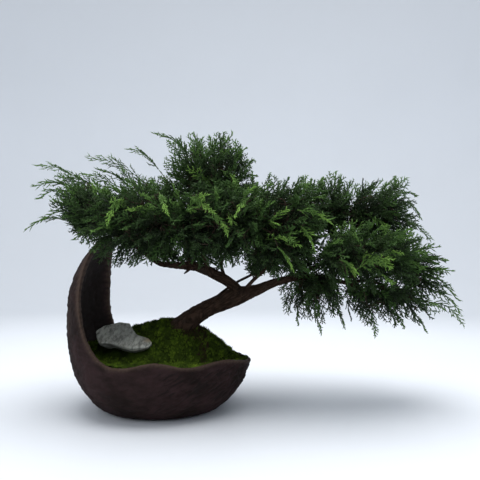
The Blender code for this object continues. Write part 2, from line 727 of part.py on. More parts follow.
def add_spray(space, twig, root, tip, rng, collection):
    """Grow one spray from a root inside its twig; it turns and shortens until it fits, or is skipped."""
    along = (tip - root).normalized()
    size = (tip - root).length
    for _ in range(SPRAY_TRIES):
        lean = Vector((rng.uniform(-1, 1), rng.uniform(-1, 1), rng.uniform(-0.6, 0.6)))
        across = along.cross(UP + lean * 0.9).normalized()
        normal = along.cross(across)
        outline = spray_points(root, along, across, size)
        middle = root + along * (size * SPRAY_MIDDLE)
        thick = size * SPRAY_THICK
        caps = [middle + normal * thick / 2, middle - normal * thick / 2]
        loop = outline[1:] + [outline[1]] + caps
        if space.admits(loop, twig["shoot"]) and not space.crowded(outline, middle, twig):
            spray_piece(outline, middle, normal, thick, collection)
            space.fans.append(space.fan(outline, middle))
            return True
        if not twig["shoot"]:
            size = max(SPRAY_SHORTEST, size * SPRAY_SHRINK)
    return False


def plan_twig(space, root, end, bend, shoot=False):
    """Keep a twig's path, unless it would leave its space or touch a limb."""
    elbow = (root + end) / 2 + bend * (TWIG_BEND * (end - root).length)
    probe = [root.lerp(elbow, 0.5), elbow, elbow.lerp(end, 0.5), end]
    if not space.admits(probe, shoot, LIMB_MARGIN + TWIG_RADIUS[0]):
        return None
    twig = dict(path=(root, elbow, end), tips=[], shoot=shoot)
    space.twigs.append(twig)
    return twig


def plan_bush(space, spec, knee, heart, sweep, rng):
    """Twigs spread evenly round the mass, each with the spray tips nearest to its heading."""
    count = spec["twigs"]
    tips = list(spread(count * SPRAYS_PER_TWIG, rng))
    for heading in spread(count, rng):
        tips.sort(key=lambda tip: -tip.dot(heading))
        own = tips[:SPRAYS_PER_TWIG]
        del tips[:SPRAYS_PER_TWIG]
        middle = sum(own, Vector()).normalized()
        end = space.pulled_in(space.on_surface(middle)).lerp(heart, 1 - TWIG_REACH)
        root = knee.lerp(heart, rng.uniform(*TWIG_ROOTS))
        twig = plan_twig(space, root, end, sweep)
        if twig:
            twig["tips"] = [space.pulled_in(space.on_surface(tip) + sweep * SWEEP_PUSH) for tip in own]


def plan_shoots(space, spec, root):
    """Long shoots that end in a spray at their stated tip."""
    for point in spec["shoots"]:
        tip = Vector(point) * MM
        heading = (tip - root).normalized()
        end = tip - heading * SPRAY_TIP
        twig = plan_twig(space, root, end, UP * SHOOT_LIFT, shoot=True)
        if not twig:
            raise RuntimeError(f"{spec['name']} has no room for its shoot to {point}")
        twig["tips"] = [tip]


def along_path(path, share):
    """Point and heading at a share of a bent path of two equal parts."""
    a, b, part = (path[0], path[1], share * 2) if share < 0.5 else (path[1], path[2], share * 2 - 1)
    return a.lerp(b, part), (b - a).normalized()


def dress_twig(space, twig, rng, collection):
    """Sprays in turn along a twig, the last at its end."""
    count = len(twig["tips"])
    for k, tip in enumerate(sorted(twig["tips"], key=lambda tip: (tip - twig["path"][0]).length)):
        root, heading = along_path(twig["path"], 1 - SPRAY_GAP * (count - 1 - k))
        if (tip - root).length < SPRAY_SHORTEST:
            root = along_path(twig["path"], SPRAY_LOW_ROOT)[0]
        root = root - heading * SUNK
        reach = tip - root
        tip = root + reach * min(1.0, SPRAY_LONGEST / reach.length)
        add_spray(space, twig, root, tip, rng, collection)
    if not twig["shoot"]:
        return
    for share, side in SPRAY_PLACES:
        root, heading = along_path(twig["path"], share)
        sideways = heading.cross(UP).normalized() * side + UP * rng.uniform(-0.9, 0.9)
        angle = SPRAY_ANGLE * rng.uniform(*SPRAY_ANGLE_SPREAD)
        direction = heading * math.cos(angle) + sideways.normalized() * math.sin(angle)
        add_spray(space, twig, root, root + direction * SPRAY_SIDE, rng, collection)


def core_piece(space, share, limbs, rng, collection):
    """The rounded heart of dense growth, drawn in near a neighbour and cut clear of limbs."""
    bm = bmesh.new()
    bmesh.ops.create_icosphere(bm, subdivisions=2, radius=1)
    for vert in bm.verts:
        ray = Vector([vert.co[k] * space.half[k] for k in range(3)])
        size = share * rng.uniform(*CORE_LUMPS)
        while size > CORE_LEAST and (not space.inside_planes(space.centre + ray * size)
                                     or space.near_limb([space.centre + ray * size])):
            size *= DRAW_IN
        vert.co = space.centre + ray * size
    core = from_bmesh("core", bm, collection)
    for name, obj in limbs.items():
        if boxes_meet(core, obj):
            boolean(core, limb_cutter(name, collection, CORE_CLEAR))
    keep_largest(core)


def build_mass(spec, limbs, obstacles, index, section, collection):
    """Stem, twigs, sprays and core of one mass, joined into one solid."""
    rng = random.Random(SEED + index)
    space = Space(spec, obstacles)
    tip_a, tip_b = [Vector(point[:3]) * MM for point in bough_points(spec["bough"])[-2:]]
    heading = (tip_b - tip_a).normalized()
    start = tip_b + heading * CLEAR
    stem_radius = bough_points(spec["bough"])[-1][3] * MM * STEM_SHARE
    pieces = make_collection("pieces")
    sweep = Vector(spec["sweep"]).normalized()
    heart = space.centre + sweep * HEART_SHIFT
    knee = start.lerp(heart, 0.5) + heading * (KNEE_LIFT * (heart - start).length)
    path = (start, start + heading * STEM_START, knee, heart)
    stem = twig_piece(spec["name"], path, (stem_radius, STEM_TIP), section, collection)
    if spec["core"]:
        core_piece(space, spec["core"], limbs, rng, pieces)
    plan_bush(space, spec, knee, heart, sweep, rng)
    plan_shoots(space, spec, knee.lerp(heart, SHOOT_ROOT))
    for twig in space.twigs:
        twig_piece("twig", twig["path"], TWIG_RADIUS, section, pieces)
        dress_twig(space, twig, rng, pieces)
    modifier = stem.modifiers.new("join", "BOOLEAN")
    modifier.operation = "UNION"
    modifier.operand_type = "COLLECTION"
    modifier.collection = pieces
    modifier.solver = "MANIFOLD"
    mesh = evaluated_mesh(stem)
    stem.modifiers.clear()
    stem.data = mesh
    for obj in list(pieces.objects):
        bpy.data.objects.remove(obj, do_unlink=True)
    bpy.data.collections.remove(pieces)
    keep_largest(stem)
    shade = rng.uniform(*LEAF_SHADES)
    green = tuple(value * shade for value in LEAF_COLOUR)
    return finish(stem, material(spec["name"], green, LEAF_ROUGHNESS), 30)


def tree_of(objects):
    """One search tree over several meshes in world space."""
    verts, faces = [], []
    for obj in objects:
        base = len(verts)
        verts += [obj.matrix_world @ vert.co for vert in obj.data.vertices]
        faces += [[base + k for k in poly.vertices] for poly in obj.data.polygons]
    return BVHTree.FromPolygons(verts, faces)


def main():
    clear_scene()
    collection = make_collection("juniper bonsai")
    limbs = build_limbs(collection)
    pot = build_pot(collection)
    ground = build_ground(collection, lambda: trunk_solid(collection, CLEAR))
    bpy.context.view_layer.update()
    obstacles = tree_of([pot] + ground + list(limbs.values()))
    section = twig_section()
    for index, spec in enumerate(MASSES):
        build_mass(spec, limbs, obstacles, index, section, collection)
    bpy.data.objects.remove(section, do_unlink=True)


main()
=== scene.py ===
"""Looks of a Chinese juniper bonsai that leans and sweeps to the right out of a crescent pot.

Metres, +Z up, -Y toward the viewer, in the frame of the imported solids. Foliage grows on from the
limbs by the rule of the part's source, carried to finer twigs inside the same spaces.
"""

import json
import math
import random

import bpy
import numpy as np
from bpy.props import FloatProperty, FloatVectorProperty, IntProperty, PointerProperty
from bpy.types import Operator, Panel, PropertyGroup
from mathutils import Euler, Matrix, Vector, kdtree, noise
from mathutils.bvhtree import BVHTree

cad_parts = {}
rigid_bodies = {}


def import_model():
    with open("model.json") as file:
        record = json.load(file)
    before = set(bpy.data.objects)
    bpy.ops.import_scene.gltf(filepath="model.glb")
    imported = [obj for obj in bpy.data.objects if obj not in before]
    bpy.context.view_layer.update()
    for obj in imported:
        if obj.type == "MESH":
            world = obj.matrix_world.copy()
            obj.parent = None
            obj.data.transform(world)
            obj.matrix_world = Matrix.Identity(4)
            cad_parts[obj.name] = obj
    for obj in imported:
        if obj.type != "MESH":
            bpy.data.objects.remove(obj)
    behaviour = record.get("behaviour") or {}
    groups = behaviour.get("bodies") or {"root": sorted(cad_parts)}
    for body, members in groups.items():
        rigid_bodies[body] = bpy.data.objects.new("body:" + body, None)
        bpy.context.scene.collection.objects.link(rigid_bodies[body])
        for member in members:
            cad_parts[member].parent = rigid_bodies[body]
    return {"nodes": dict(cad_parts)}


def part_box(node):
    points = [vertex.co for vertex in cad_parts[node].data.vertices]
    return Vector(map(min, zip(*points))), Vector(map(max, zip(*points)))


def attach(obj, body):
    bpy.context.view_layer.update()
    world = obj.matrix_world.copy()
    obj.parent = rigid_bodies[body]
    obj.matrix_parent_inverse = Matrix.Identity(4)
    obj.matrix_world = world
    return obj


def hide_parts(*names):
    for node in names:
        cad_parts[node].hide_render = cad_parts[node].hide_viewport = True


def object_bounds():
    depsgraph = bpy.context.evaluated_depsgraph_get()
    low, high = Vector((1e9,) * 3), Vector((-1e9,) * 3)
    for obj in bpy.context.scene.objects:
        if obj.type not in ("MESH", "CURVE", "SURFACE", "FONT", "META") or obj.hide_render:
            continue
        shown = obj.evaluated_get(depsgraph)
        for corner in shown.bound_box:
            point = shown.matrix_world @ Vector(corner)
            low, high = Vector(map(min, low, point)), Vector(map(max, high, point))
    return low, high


bl_info = {
    "name": "Leaning juniper bonsai",
    "version": (1, 0, 0),
    "blender": (4, 5, 0),
    "location": "3D View > Sidebar > Bonsai",
    "description": "Dresses the packed bonsai with bark, foliage, moss, stone and stoneware",
    "category": "Object",
}

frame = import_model()
CAD_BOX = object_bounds()
MM = 0.001
UP_ARRAY = np.array([0.0, 0.0, 1.0])

# Pot, as in the part's source
POT_RADIUS = 101.8 * MM
POT_WIDEST = 108.0 * MM
POT_TOP_HALF = 98.5 * MM
POT_WALL = 6.5 * MM
POT_FLOOR = 9.0 * MM
POT_BELLY = 2.75
POT_UNDERCUT = 11.3 * MM
FOOT_RADIUS = 57.0 * MM
FOOT_BLEND = 2.5 * MM
OPENING_FALL = math.radians(3.4)
OPENING_TURN = math.radians(2.5)
OPENING_PLACE = (-3.0 * MM, 0, -5.6 * MM)
RIM_HEIGHT = 58.3 * MM
RIM_WAVE = 2.5 * MM
RIM_WAVE_LENGTH = 63.0 * MM
RIM_WAVE_CREST = 68.0 * MM
HORN_CENTRE = (-30.1 * MM, 125.0 * MM)
HORN_HALF = (41.4 * MM, 69.5 * MM)
HORN_HALF_ABOVE = 90.0 * MM
HORN_TIP_HEIGHT = 190.0 * MM
OUTSIDE = 135.0 * MM
OPENING_TOP = 230.0 * MM

# Pot's finish, which only shows here
EGG_SEGMENTS = 128
EGG_ROWS = 64
EGG_DOME, EGG_BELLY, EGG_FOOT = 30, 54, 58       # last row of each stretch; a flat floor follows
FOOT_INSET = 0.6                 # how much narrower the inside's foot is, as a share of the wall
RIM_STEPS = 48
HORN_STEPS = 32
CLAY_SLANT = ((0.90, 0.0, -0.44), (0.0, 1.0, 0.0), (0.44, 0.0, 0.90))
DENT_SIZE = 24 * MM
SCRAPE_SIZE = (15 * MM, 12 * MM, 5 * MM)
WRINKLE_SIZE = (21 * MM, 14 * MM, 2.6 * MM)
PIT_SIZE = 4.5 * MM
CREASE_X = (-10 * MM, 40 * MM)   # where the creased side starts, and how soon it is full
CREASE_Z = (8 * MM, 20 * MM)
RIM_WEAR = 9 * MM                # the clay is rubbed this far from the rim
FOOT_FADE = 5 * MM               # dents fade out over this height
HORN_PAINTED_LIGHT = (75 * MM, 70 * MM)   # start and reach of the warm painted light on the horn and on the left side
LEFT_PAINTED_LIGHT = (55 * MM, 40 * MM)
LEFT_PAINTED_LIGHT_Z = (0, 90 * MM)

# Ground, as in the part's source
MOSS_EDGE = 54.8 * MM
MOSS_RISE = 43.5 * MM
MOUND_CENTRE = (-4.0 * MM, 5.0 * MM)
MOUND_REACH = (88.0 * MM, 131.0 * MM, 58.0 * MM)
MOUND_POWERS = (2.2, 1.0, 1.4)
MOSS_LUMP = (1.6 * MM, 17.0 * MM)
STONE_BANK = (1.6 * MM, 30.0 * MM)
STONE_THICK = 10.0 * MM
STONE_CENTRE = (-34.0 * MM, -22.0 * MM, 73.8 * MM)
STONE_TILT = math.radians(23)
STONE_TURN = math.radians(-1)
STONE_OUTLINE = (
    (-38, 8), (-33, 20), (-16, 30), (-4, 27), (2, 14), (9, 2), (23, -5),
    (29, -15), (26, -23), (10, -28), (-4, -22), (-16, -16), (-26, -18), (-32, -7),
)

# Ground's finish, which only shows here
STONE_VOXEL = 0.8 * MM
STONE_BEVEL = 1.6 * MM
STONE_SLANT = ((0.82, 0.57, 0), (-0.57, 0.82, 0), (0, 0, 1))
LAYER_SIZE = (22 * MM, 22 * MM, 1.3 * MM)
CHIP_SIZE = (9 * MM, 9 * MM, 4 * MM)
SHEET_SIZE = (16 * MM, 7 * MM, 30 * MM)
GRIT_SIZE = (1.5 * MM, 6 * MM, 4 * MM)
STONE_FOOT = (-1.5 * MM, 6.5 * MM)               # depth where the slab starts to narrow, and its reach
STONE_NARROWS = 0.26
STAIN_PLACE = (25 * MM, -9 * MM)
STAIN_REACH = 14 * MM
MOSS_FIELD = 94                  # half the width that tufts are tried on, in millimetres
TUFT_PATTERNS = 12
TUFT_SPIKES = 6
TUFT_GAP = 0.6 * MM              # from the outer tufts to the pot's inside
CUSHION_SIZE = 6 * MM
PATCH_SIZES = (11 * MM, 4 * MM)
MOSS_TINTS = (                   # from shaded to sunlit, and dead moss
    ("moss_shade", (0.016, 0.026, 0.004)), ("moss_deep", (0.036, 0.062, 0.006)),
    ("moss_fresh", (0.085, 0.140, 0.011)), ("moss_bright", (0.180, 0.270, 0.022)),
    ("moss_dead", (0.030, 0.019, 0.010)),
)
LITTER_CENTRE = (30 * MM, -2 * MM)
LITTER_REACH = 27 * MM
STREAK_X = (46 * MM, 7 * MM)     # middle and half width of the dark brown streak in front of the trunk
STREAK_Y = (-52 * MM, -10 * MM)
BED_CELLS = 120
BED_OVERLAP = 2.0 * MM           # how far the bed runs into the pot's wall
BED_THICK = 3 * MM
BED_LUMPS = ((5 * MM, 0.0, 1.0 * MM), (2.2 * MM, 5.0, 0.5 * MM))   # size, offset and height

# Limbs, as in the part's source: points of X, Y, Z and radius in millimetres
TRUNK = (
    (12, 0, 72, 19.0), (18, 0, 81, 15.5), (27, 0, 91, 12.0), (39.6, 0, 100, 10.4),
    (54.8, 0, 107, 9.8), (71.8, -1, 114.4, 10.6), (85.1, -2, 119.2, 10.0), (94.5, -3, 122.2, 7.9),
    (104.6, -4, 125.8, 6.6), (113.8, -5, 129.8, 5.8), (128, -7, 134.7, 4.8), (147.7, -9, 139.1, 4.0),
)
BOUGHS = {
    "bough_left": (
        (85, -1, 121, 6.6), (72.8, 2, 132.4, 6.3), (54.6, 6, 142.6, 6.3), (42, 8, 148.2, 6.2),
        (30.5, 9, 151.6, 5.7), (15.6, 10, 152.0, 4.6), (1.9, 10, 153.1, 3.8), (-9.5, 10, 155.6, 3.2),
        (-30, 8, 170, 2.4), (-48, 2, 184, 1.9), (-62, -5, 193, 1.5),
    ),
    "bough_right_low": (
        (146, -9, 138.8, 3.6), (172, -8, 139, 3.2), (200.9, -6, 132.5, 2.4), (214, -5, 127, 1.8),
        (224, -5, 122, 1.5),
    ),
    "bough_right_high": (
        (141, -8.5, 138, 3.0), (158, -8, 146.5, 3.0), (172.7, -6, 152.5, 2.8), (196, 0, 162.6, 2.5),
        (205.9, 3, 174, 2.2), (213, 4, 190, 1.8), (222, 4, 202, 1.5),
    ),
    "bough_left_outer": (
        (-30, 8, 170, 1.8), (-42, 16, 182, 1.7), (-56, 26, 196, 1.5), (-66, 30, 203, 1.3),
    ),
    "bough_left_front": (
        (-6, 10, 155, 2.0), (-10, -2, 159, 1.9), (-15, -15, 166, 1.6), (-19, -26, 174, 1.4),
    ),
    "bough_left_back": ((4, 10, 154, 2.0), (-3, 20, 162, 1.8), (-13, 28, 174, 1.6), (-20, 34, 186, 1.4)),
    "bough_apex": (
        (29, 9, 153, 3.6), (22, 9, 169, 3.1), (26, 9, 190, 2.6), (36, 7, 210, 2.1), (41, 5, 226, 1.7),
    ),
    "bough_centre_front": (
        (52, 6, 144, 2.8), (44, 1, 158, 2.4), (45, -11, 170, 1.9), (51, -27, 179, 1.5),
    ),
    "bough_centre_back": ((68, 4, 136, 2.4), (63, 14, 150, 2.1), (62, 24, 166, 1.8), (64, 32, 182, 1.5)),
    "bough_shoulder_front": (
        (88, -4, 124, 2.4), (99, -13, 136, 2.2), (109, -21, 145, 1.8), (118, -28, 156, 1.6),
        (123, -33, 166, 1.4),
    ),
    "bough_shoulder_back": (
        (50, 5, 110, 1.8), (64, 13, 122, 1.8), (80, 15, 133, 1.7), (98, 15, 142, 1.7),
        (114, 20, 150, 1.6), (124, 26, 160, 1.5), (130, 32, 170, 1.4),
    ),
    "bough_right_inner": ((196, 0, 163, 2.0), (191, 5, 177, 1.8), (188, 9, 193, 1.5)),
    "bough_hanging": ((163, -8, 139, 1.9), (165.5, -6.5, 134.5, 1.7), (167.5, -4, 130.5, 1.4)),
    "bough_right_front": ((198, -6, 133, 1.9), (204, -17, 139, 1.7), (208, -30, 147, 1.4)),
    "bough_right_back": ((205.9, 3, 174, 1.9), (217, 14, 172, 1.7), (228, 24, 171, 1.4)),
    "bough_right_tip": ((206, -6, 131, 1.8), (226, -3, 137, 1.7), (248, 0, 142, 1.6), (268, 0, 146, 1.4)),
}
# Small limbs that only show here: a dead stub under the left bough and two thin aerial roots
SMALL_LIMBS = (
    ((27, 7, 148, 2.0), (23.5, 6, 145, 1.5), (20.5, 5, 142.5, 0.7)),
    ((41, -6, 91, 0.9), (39.5, -8, 87, 0.7), (38.5, -9, 82, 0.6), (38, -9, 77, 0.5)),
    ((36, -8, 90, 0.8), (35.5, -10, 86, 0.6), (35.5, -11, 78, 0.5)),
)
PATH_STEPS = 12                  # points of a limb's path from each knot to the next
THICK_LIMB = 9 * MM              # limbs thicker than this have no deeper relief
THIN_LIMB = 3.5 * MM             # thinner ones have shallower flakes
BARK_TWIST = 55 * MM             # the bark turns by one radian over this length
LIMB_SHIFT = 0.37                # sets the noise of each limb apart

# Foliage, as in the part's source: each mass fills a rounded box, in millimetres
MASSES = [dict(zip(("name", "bough", "centre", "half", "sweep"), row)) for row in (
    ("left_outer_front", "bough_left", (-84, -26, 204), (36, 36, 37), (-1, -0.2, 0.1)),
    ("left_outer_back", "bough_left_outer", (-91, 32, 218), (42, 36, 38), (-1, 0.2, 0.3)),
    ("left_front", "bough_left_front", (-22, -50, 193), (54, 42, 44), (-0.8, -0.3, -0.1)),
    ("left_back", "bough_left_back", (-28, 46, 216), (56, 46, 48), (-0.8, 0.3, 0.3)),
    ("apex", "bough_apex", (50, 0, 256), (46, 50, 42), (-0.2, 0, 1)),
    ("centre_front", "bough_centre_front", (62, -57, 193), (60, 40, 44), (0.2, -1, 0)),
    ("centre_back", "bough_centre_back", (66, 54, 210), (60, 43, 48), (0.2, 1, 0.1)),
    ("shoulder_front", "bough_shoulder_front", (127, -44, 190), (49, 42, 52), (0.7, -0.4, 0.1)),
    ("shoulder_back", "bough_shoulder_back", (134, 46, 196), (52, 46, 52), (0.7, 0.5, 0.2)),
    ("right_inner", "bough_right_inner", (186, 6, 218), (42, 48, 36), (0.5, 0, 0.7)),
    ("right_upper", "bough_right_high", (235, 0, 213), (47, 48, 37), (0.9, 0, 0.3)),
    ("right_front", "bough_right_front", (214, -48, 160), (54, 38, 36), (0.7, -0.6, -0.1)),
    ("right_back", "bough_right_back", (244, 40, 172), (54, 42, 40), (0.8, 0.5, 0)),
    ("hanging", "bough_hanging", (168, -3, 122), (40, 44, 32), (0.3, 0, -1)),
    ("right_low", "bough_right_low", (246, -6, 116), (56, 44, 30), (0.8, 0, -0.6)),
    ("right_tip", "bough_right_tip", (282, 0, 147), (31, 38, 36), (1, 0, -0.3)),
)]
FULLNESS = 3.0                   # exponent of the rounded box
CELL_MARGIN = 0.4 * MM
BOX_MARGIN = 0.4 * MM            # growth keeps this far inside the solids' own box
HEART_SHIFT = 6.0 * MM
SEED = 41

# Finer growth, which only shows here
OPEN_MASSES = {"hanging": 0.62, "right_low": 0.7, "right_tip": 0.75}   # less growth, so that sky shows
TRIMS = {                        # slanting edges: X and Z of a point on each, and which way the mass lies
    "left_outer_front": (-118, 221, 48, 37), "left_outer_back": (-124, 221, 48, 37),
    "right_upper": (257, 252, -43, -22), "right_tip": (297, 181, -39, -19),
}
# Long shoots of each mass: root and tip in millimetres, and how far the shoot arches
LONG_SHOOTS = {
    "left_outer_front": (
        ((-81, -10, 239), (-144, -12, 262), 0.34), ((-90, -12, 237), (-145, -14, 239), 0.34),
        ((-96, -14, 233), (-139, -16, 224), 0.45), ((-94, -12, 194), (-153, -12, 191), 0.8),
        ((-88, -14, 204), (-130, -20, 202), 0.6), ((-82, -20, 236), (-118, -24, 249), 0.4),
        ((-74, -16, 226), (-66, 8, 236), 0.3),
    ),
    "left_outer_back": (
        ((-70, 16, 236), (-128, 20, 256), 0.34), ((-92, 34, 230), (-147, 24, 252), 0.4),
        ((-80, 16, 230), (-62, -4, 238), 0.3), ((-76, 30, 214), (-52, 24, 228), 0.3),
        ((-76, 14, 208), (-54, 10, 222), 0.3), ((-78, 48, 224), (-56, 54, 236), 0.3),
    ),
    "left_back": (
        ((-22, 20, 244), (-96, 18, 278), 0.46), ((-38, 20, 240), (-86, 16, 267), 0.34),
        ((-46, 16, 236), (-106, 18, 261), 0.36), ((-2, 16, 252), (-51, 22, 290), 0.6),
        ((-36, 0, 240), (-50, -8, 264), 0.1), ((-48, 16, 234), (-73, 3, 243), 0.3),
        ((-50, 30, 222), (-74, 26, 236), 0.3), ((-52, 44, 210), (-76, 48, 222), 0.3),
        ((-48, 16, 206), (-72, 10, 216), 0.3),
    ),
    "apex": (
        ((18, 0, 236), (-3, -4, 268), 0.2), ((14, 2, 228), (-9, 4, 254), 0.24),
        ((36, 4, 270), (-18, 4, 306), 0.5), ((30, -8, 270), (2, -10, 293), 0.3),
        ((60, 0, 276), (66, 0, 305), 0.06), ((74, 10, 272), (92, 10, 290), 0.2),
        ((78, 0, 258), (101, -6, 271), 0.3), ((76, -10, 244), (104, -12, 252), 0.36),
        ((82, 10, 238), (105, 6, 246), 0.3), ((78, -8, 234), (102, -8, 241), 0.3),
    ),
    "left_front": (
        ((-50, -50, 190), (-86, -50, 176), 0.4), ((-40, -54, 180), (-62, -60, 164), 0.3),
        ((-44, -16, 220), (-67, -2, 234), 0.3), ((-20, -20, 170), (-31, -16, 150), 0.1),
        ((-10, -14, 168), (-18, -10, 150), 0.1),
    ),
    "shoulder_front": (
        ((98, -20, 232), (98, -20, 255), 0.05), ((112, -24, 228), (116, -26, 252), 0.1),
        ((112, -18, 226), (97, 6, 237), 0.2), ((150, -30, 176), (178, -34, 184), 0.2),
        ((98, -14, 170), (92, -10, 146), 0.1), ((120, -24, 152), (104, -14, 139), 0.1),
        ((130, -22, 154), (117, -14, 141), 0.1),
    ),
    "shoulder_back": (
        ((152, 20, 228), (154, 20, 254), 0.05), ((112, 26, 232), (97, 4, 245), 0.2),
        ((118, 22, 226), (103, -6, 238), 0.2), ((122, 12, 212), (97, 4, 224), 0.2),
        ((120, 22, 206), (96, 12, 218), 0.2), ((118, 40, 200), (94, 36, 214), 0.2),
        ((118, 24, 214), (95, 18, 227), 0.2), ((118, 56, 210), (95, 62, 224), 0.2),
        ((104, 20, 166), (98, 16, 148), 0.1),
    ),
    "right_inner": (
        ((178, 6, 230), (180, 6, 254), 0.05), ((184, 2, 190), (172, -4, 168), 0.2),
        ((188, 4, 186), (180, 0, 162), 0.2),
    ),
    "right_upper": (
        ((256, 0, 234), (260, 0, 254), 0.05), ((262, 0, 234), (285, 0, 230), 0.5),
        ((270, 4, 226), (291, 4, 204), 0.6), ((268, 4, 202), (301, 4, 180), 0.7),
    ),
    "right_tip": (
        ((290, 0, 155), (318, 0, 158), 0.5), ((290, 4, 128), (336, 4, 95), 0.55),
        ((296, 8, 132), (332, 8, 112), 0.6),
    ),
    "right_low": (
        ((284, -10, 112), (326, -12, 85), 0.6), ((274, -8, 102), (289, -8, 78), 0.2),
        ((226, -6, 108), (231, -6, 73), 0.05), ((250, -12, 104), (262, -14, 84), 0.15),
    ),
    "hanging": (
        ((163, -2, 112), (173, -2, 75), 0.08), ((190, -4, 108), (200, -4, 82), 0.1),
        ((146, -6, 108), (148, -6, 86), 0.05),
    ),
    "centre_back": (
        ((94, 30, 226), (118, 24, 238), 0.2), ((96, 44, 214), (122, 50, 222), 0.2),
        ((92, 20, 200), (118, 12, 214), 0.2), ((92, 14, 220), (116, 2, 230), 0.2),
        ((94, 2, 212), (116, 10, 222), 0.2), ((60, 26, 176), (74, 20, 152), 0.1),
    ),
    "centre_front": (((66, -16, 174), (70, -14, 150), 0.1), ((78, -14, 176), (84, -10, 152), 0.1)),
}
# New shoots of each mass: root and tip in millimetres
BRIGHT_SHOOTS = {
    "centre_front": (
        ((34, -82, 204), (56, -92, 216)), ((34, -82, 216), (62, -94, 198)),
        ((56, -84, 200), (72, -94, 176)), ((86, -84, 212), (98, -93, 224)),
        ((94, -84, 216), (78, -94, 194)),
    ),
    "shoulder_front": (
        ((140, -74, 204), (172, -84, 189)), ((120, -76, 168), (135, -86, 144)),
        ((143, -76, 188), (155, -86, 164)),
    ),
    "right_front": (
        ((196, -74, 146), (230, -84, 154)), ((218, -70, 160), (240, -80, 162)),
        ((180, -74, 156), (196, -84, 142)),
    ),
    "left_front": (((-28, -80, 216), (-40, -90, 186)), ((6, -80, 220), (18, -90, 196))),
    "right_upper": (((222, -30, 204), (238, -44, 182)),),
    "apex": (((64, -36, 252), (80, -46, 236)),),
}
BRIGHT_SPOTS = (                 # centre and reach of the new growth, in millimetres
    ((66, -90, 204), 30), ((214, -80, 148), 26), ((140, -80, 190), 22),
    ((-60, -50, 226), 14), ((-30, -84, 200), 16), ((40, -30, 260), 22),
)
# Sprays that stand straight on a bough: first and last share of its length, and how many
BOUGH_SPRAYS = (
    ("bough_left", 0.16, 0.98, 84), ("bough_right_low", 0.0, 0.75, 22),
    ("bough_right_high", 0.0, 0.8, 34), ("bough_shoulder_front", 0.2, 0.95, 34),
    ("bough_shoulder_back", 0.45, 0.98, 36), ("bough_apex", 0.12, 0.8, 22),
    ("bough_centre_front", 0.25, 0.98, 32), ("bough_centre_back", 0.35, 0.98, 32),
    ("bough_left_front", 0.2, 0.9, 12), ("bough_left_back", 0.3, 0.9, 12), ("trunk", 0.86, 0.99, 10),
)
BOUGH_SPRAY_MASS = "left_front"  # its piece holds them
BOUGH_SPRAY_LENGTHS = (17, 29)   # in millimetres
BOUGH_SPRAY_START = 1.7 * MM     # from the bark to the spray's root
STEM_GIRTH = 0.9 * MM
TWIGS = 9                        # of each mass
TWIG_SHARES = (0.5, 0.7)         # how far out they end
TWIG_GIRTHS = (0.95 * MM, 0.55 * MM)
TWIG_PARTS = 4
FINE_TWIG = 0.45 * MM
ROUND_TWIG = 1.2 * MM            # twigs thicker than this have five sides, others three
SPRAY_DEPTHS = ((0.62, 0.97), (0.26, 0.74), (0.12, 0.50))   # share of the sprays, and how far out
SPRAY_STRETCH = (0.72, 1.25)
RUNNERS = 9                      # tried for each mass
RUNNER_REACH = (1.04, 1.16)      # how far out they end
RUNNER_LENGTH = (1.5, 1.9)       # in sprays
RUNNER_START = 0.2
PATTERNS = 20                    # sprays modelled once and copied
LONG_PATTERNS = 4                # longer ones for shoots
SPRAY_FORMS = ((PATTERNS, 0.34, 11, 8), (LONG_PATTERNS, 0.22, 17, 12))   # width, branchlets and links
BRANCHLET_ANGLES = (34, 54)
LINK_LENGTH = 0.10               # of a branchlet, as a share of the spray's length
LINK_OVERLAP = 1.12
SPRIG_LENGTHS = (0.07, 0.13)
SPRIG_GIRTH = 0.88 * MM          # from a sprig's middle to its edge, at its root
SPRAY_WIDEST = 40 * MM           # longer sprays grow no wider
LIMB_CLEAR = 1.0 * MM            # sprigs keep this far from limbs, pot and stone
SHOOT_SAG = 0.34                 # how far a shoot arches, as a share of its length
SHOOT_START = 0.12               # share of a shoot that is bare stalk
TINTS = (                        # foliage colours from the shaded inside to the new shoots
    (0.022, 0.020, 0.009), (0.013, 0.027, 0.008), (0.027, 0.058, 0.014), (0.048, 0.106, 0.022),
    (0.088, 0.180, 0.034), (0.160, 0.300, 0.052),
)
FRESH, BRIGHT = 3, 4             # tints of the shoots that stand out and of the new growth
OUTER_PART = 0.66                # sprigs beyond this share of a spray are one tint fresher

# Stage
FLOOR_SIDES = 96
SWEEP_STEPS = 12
WALL_HEIGHT = 1.2
ROOM_COLOUR = (0.93, 0.96, 1.0, 1)
ROOM_STRENGTH = 0.72
CEILING_PLACE = (0.15, -0.05)
LIGHTS = (                       # name, place, size, power and aim; the ceiling's height is a setting
    ("ceiling", CEILING_PLACE, 1.2, 16.0, (0.08, 0, 0.15)),
    ("window", (-1.1, -0.9, 0.8), 0.9, 4.5, (0.08, 0, 0.15)),
    ("wash", (0.15, 0.8, 1.45), 1.0, 6.0, (0.15, 2.6, 0.3)),
)
CAMERA_PLACE = (0.084, -0.532, 0.138)
CAMERA_RISE = math.atan(38 / 475)
SENSOR = 36.0
LENS = SENSOR * 475 / 480


# Helpers for objects and meshes

def fresh():
    """Leave edit mode and deselect all, so that an operator only meets what it is meant for."""
    if bpy.context.object and bpy.context.object.mode != "OBJECT":
        bpy.ops.object.mode_set(mode="OBJECT")
    bpy.ops.object.select_all(action="DESELECT")


def pick(obj):
    fresh()
    obj.select_set(True)
    bpy.context.view_layer.objects.active = obj


def started(name):
    """The primitive that an operator has just added, under its own name."""
    obj = bpy.context.object
    obj.name = name
    obj.data.name = name
    return obj


def settle(obj):
    """Put the object's place into its mesh."""
    pick(obj)
    bpy.ops.object.transform_apply(location=True, rotation=True, scale=True)


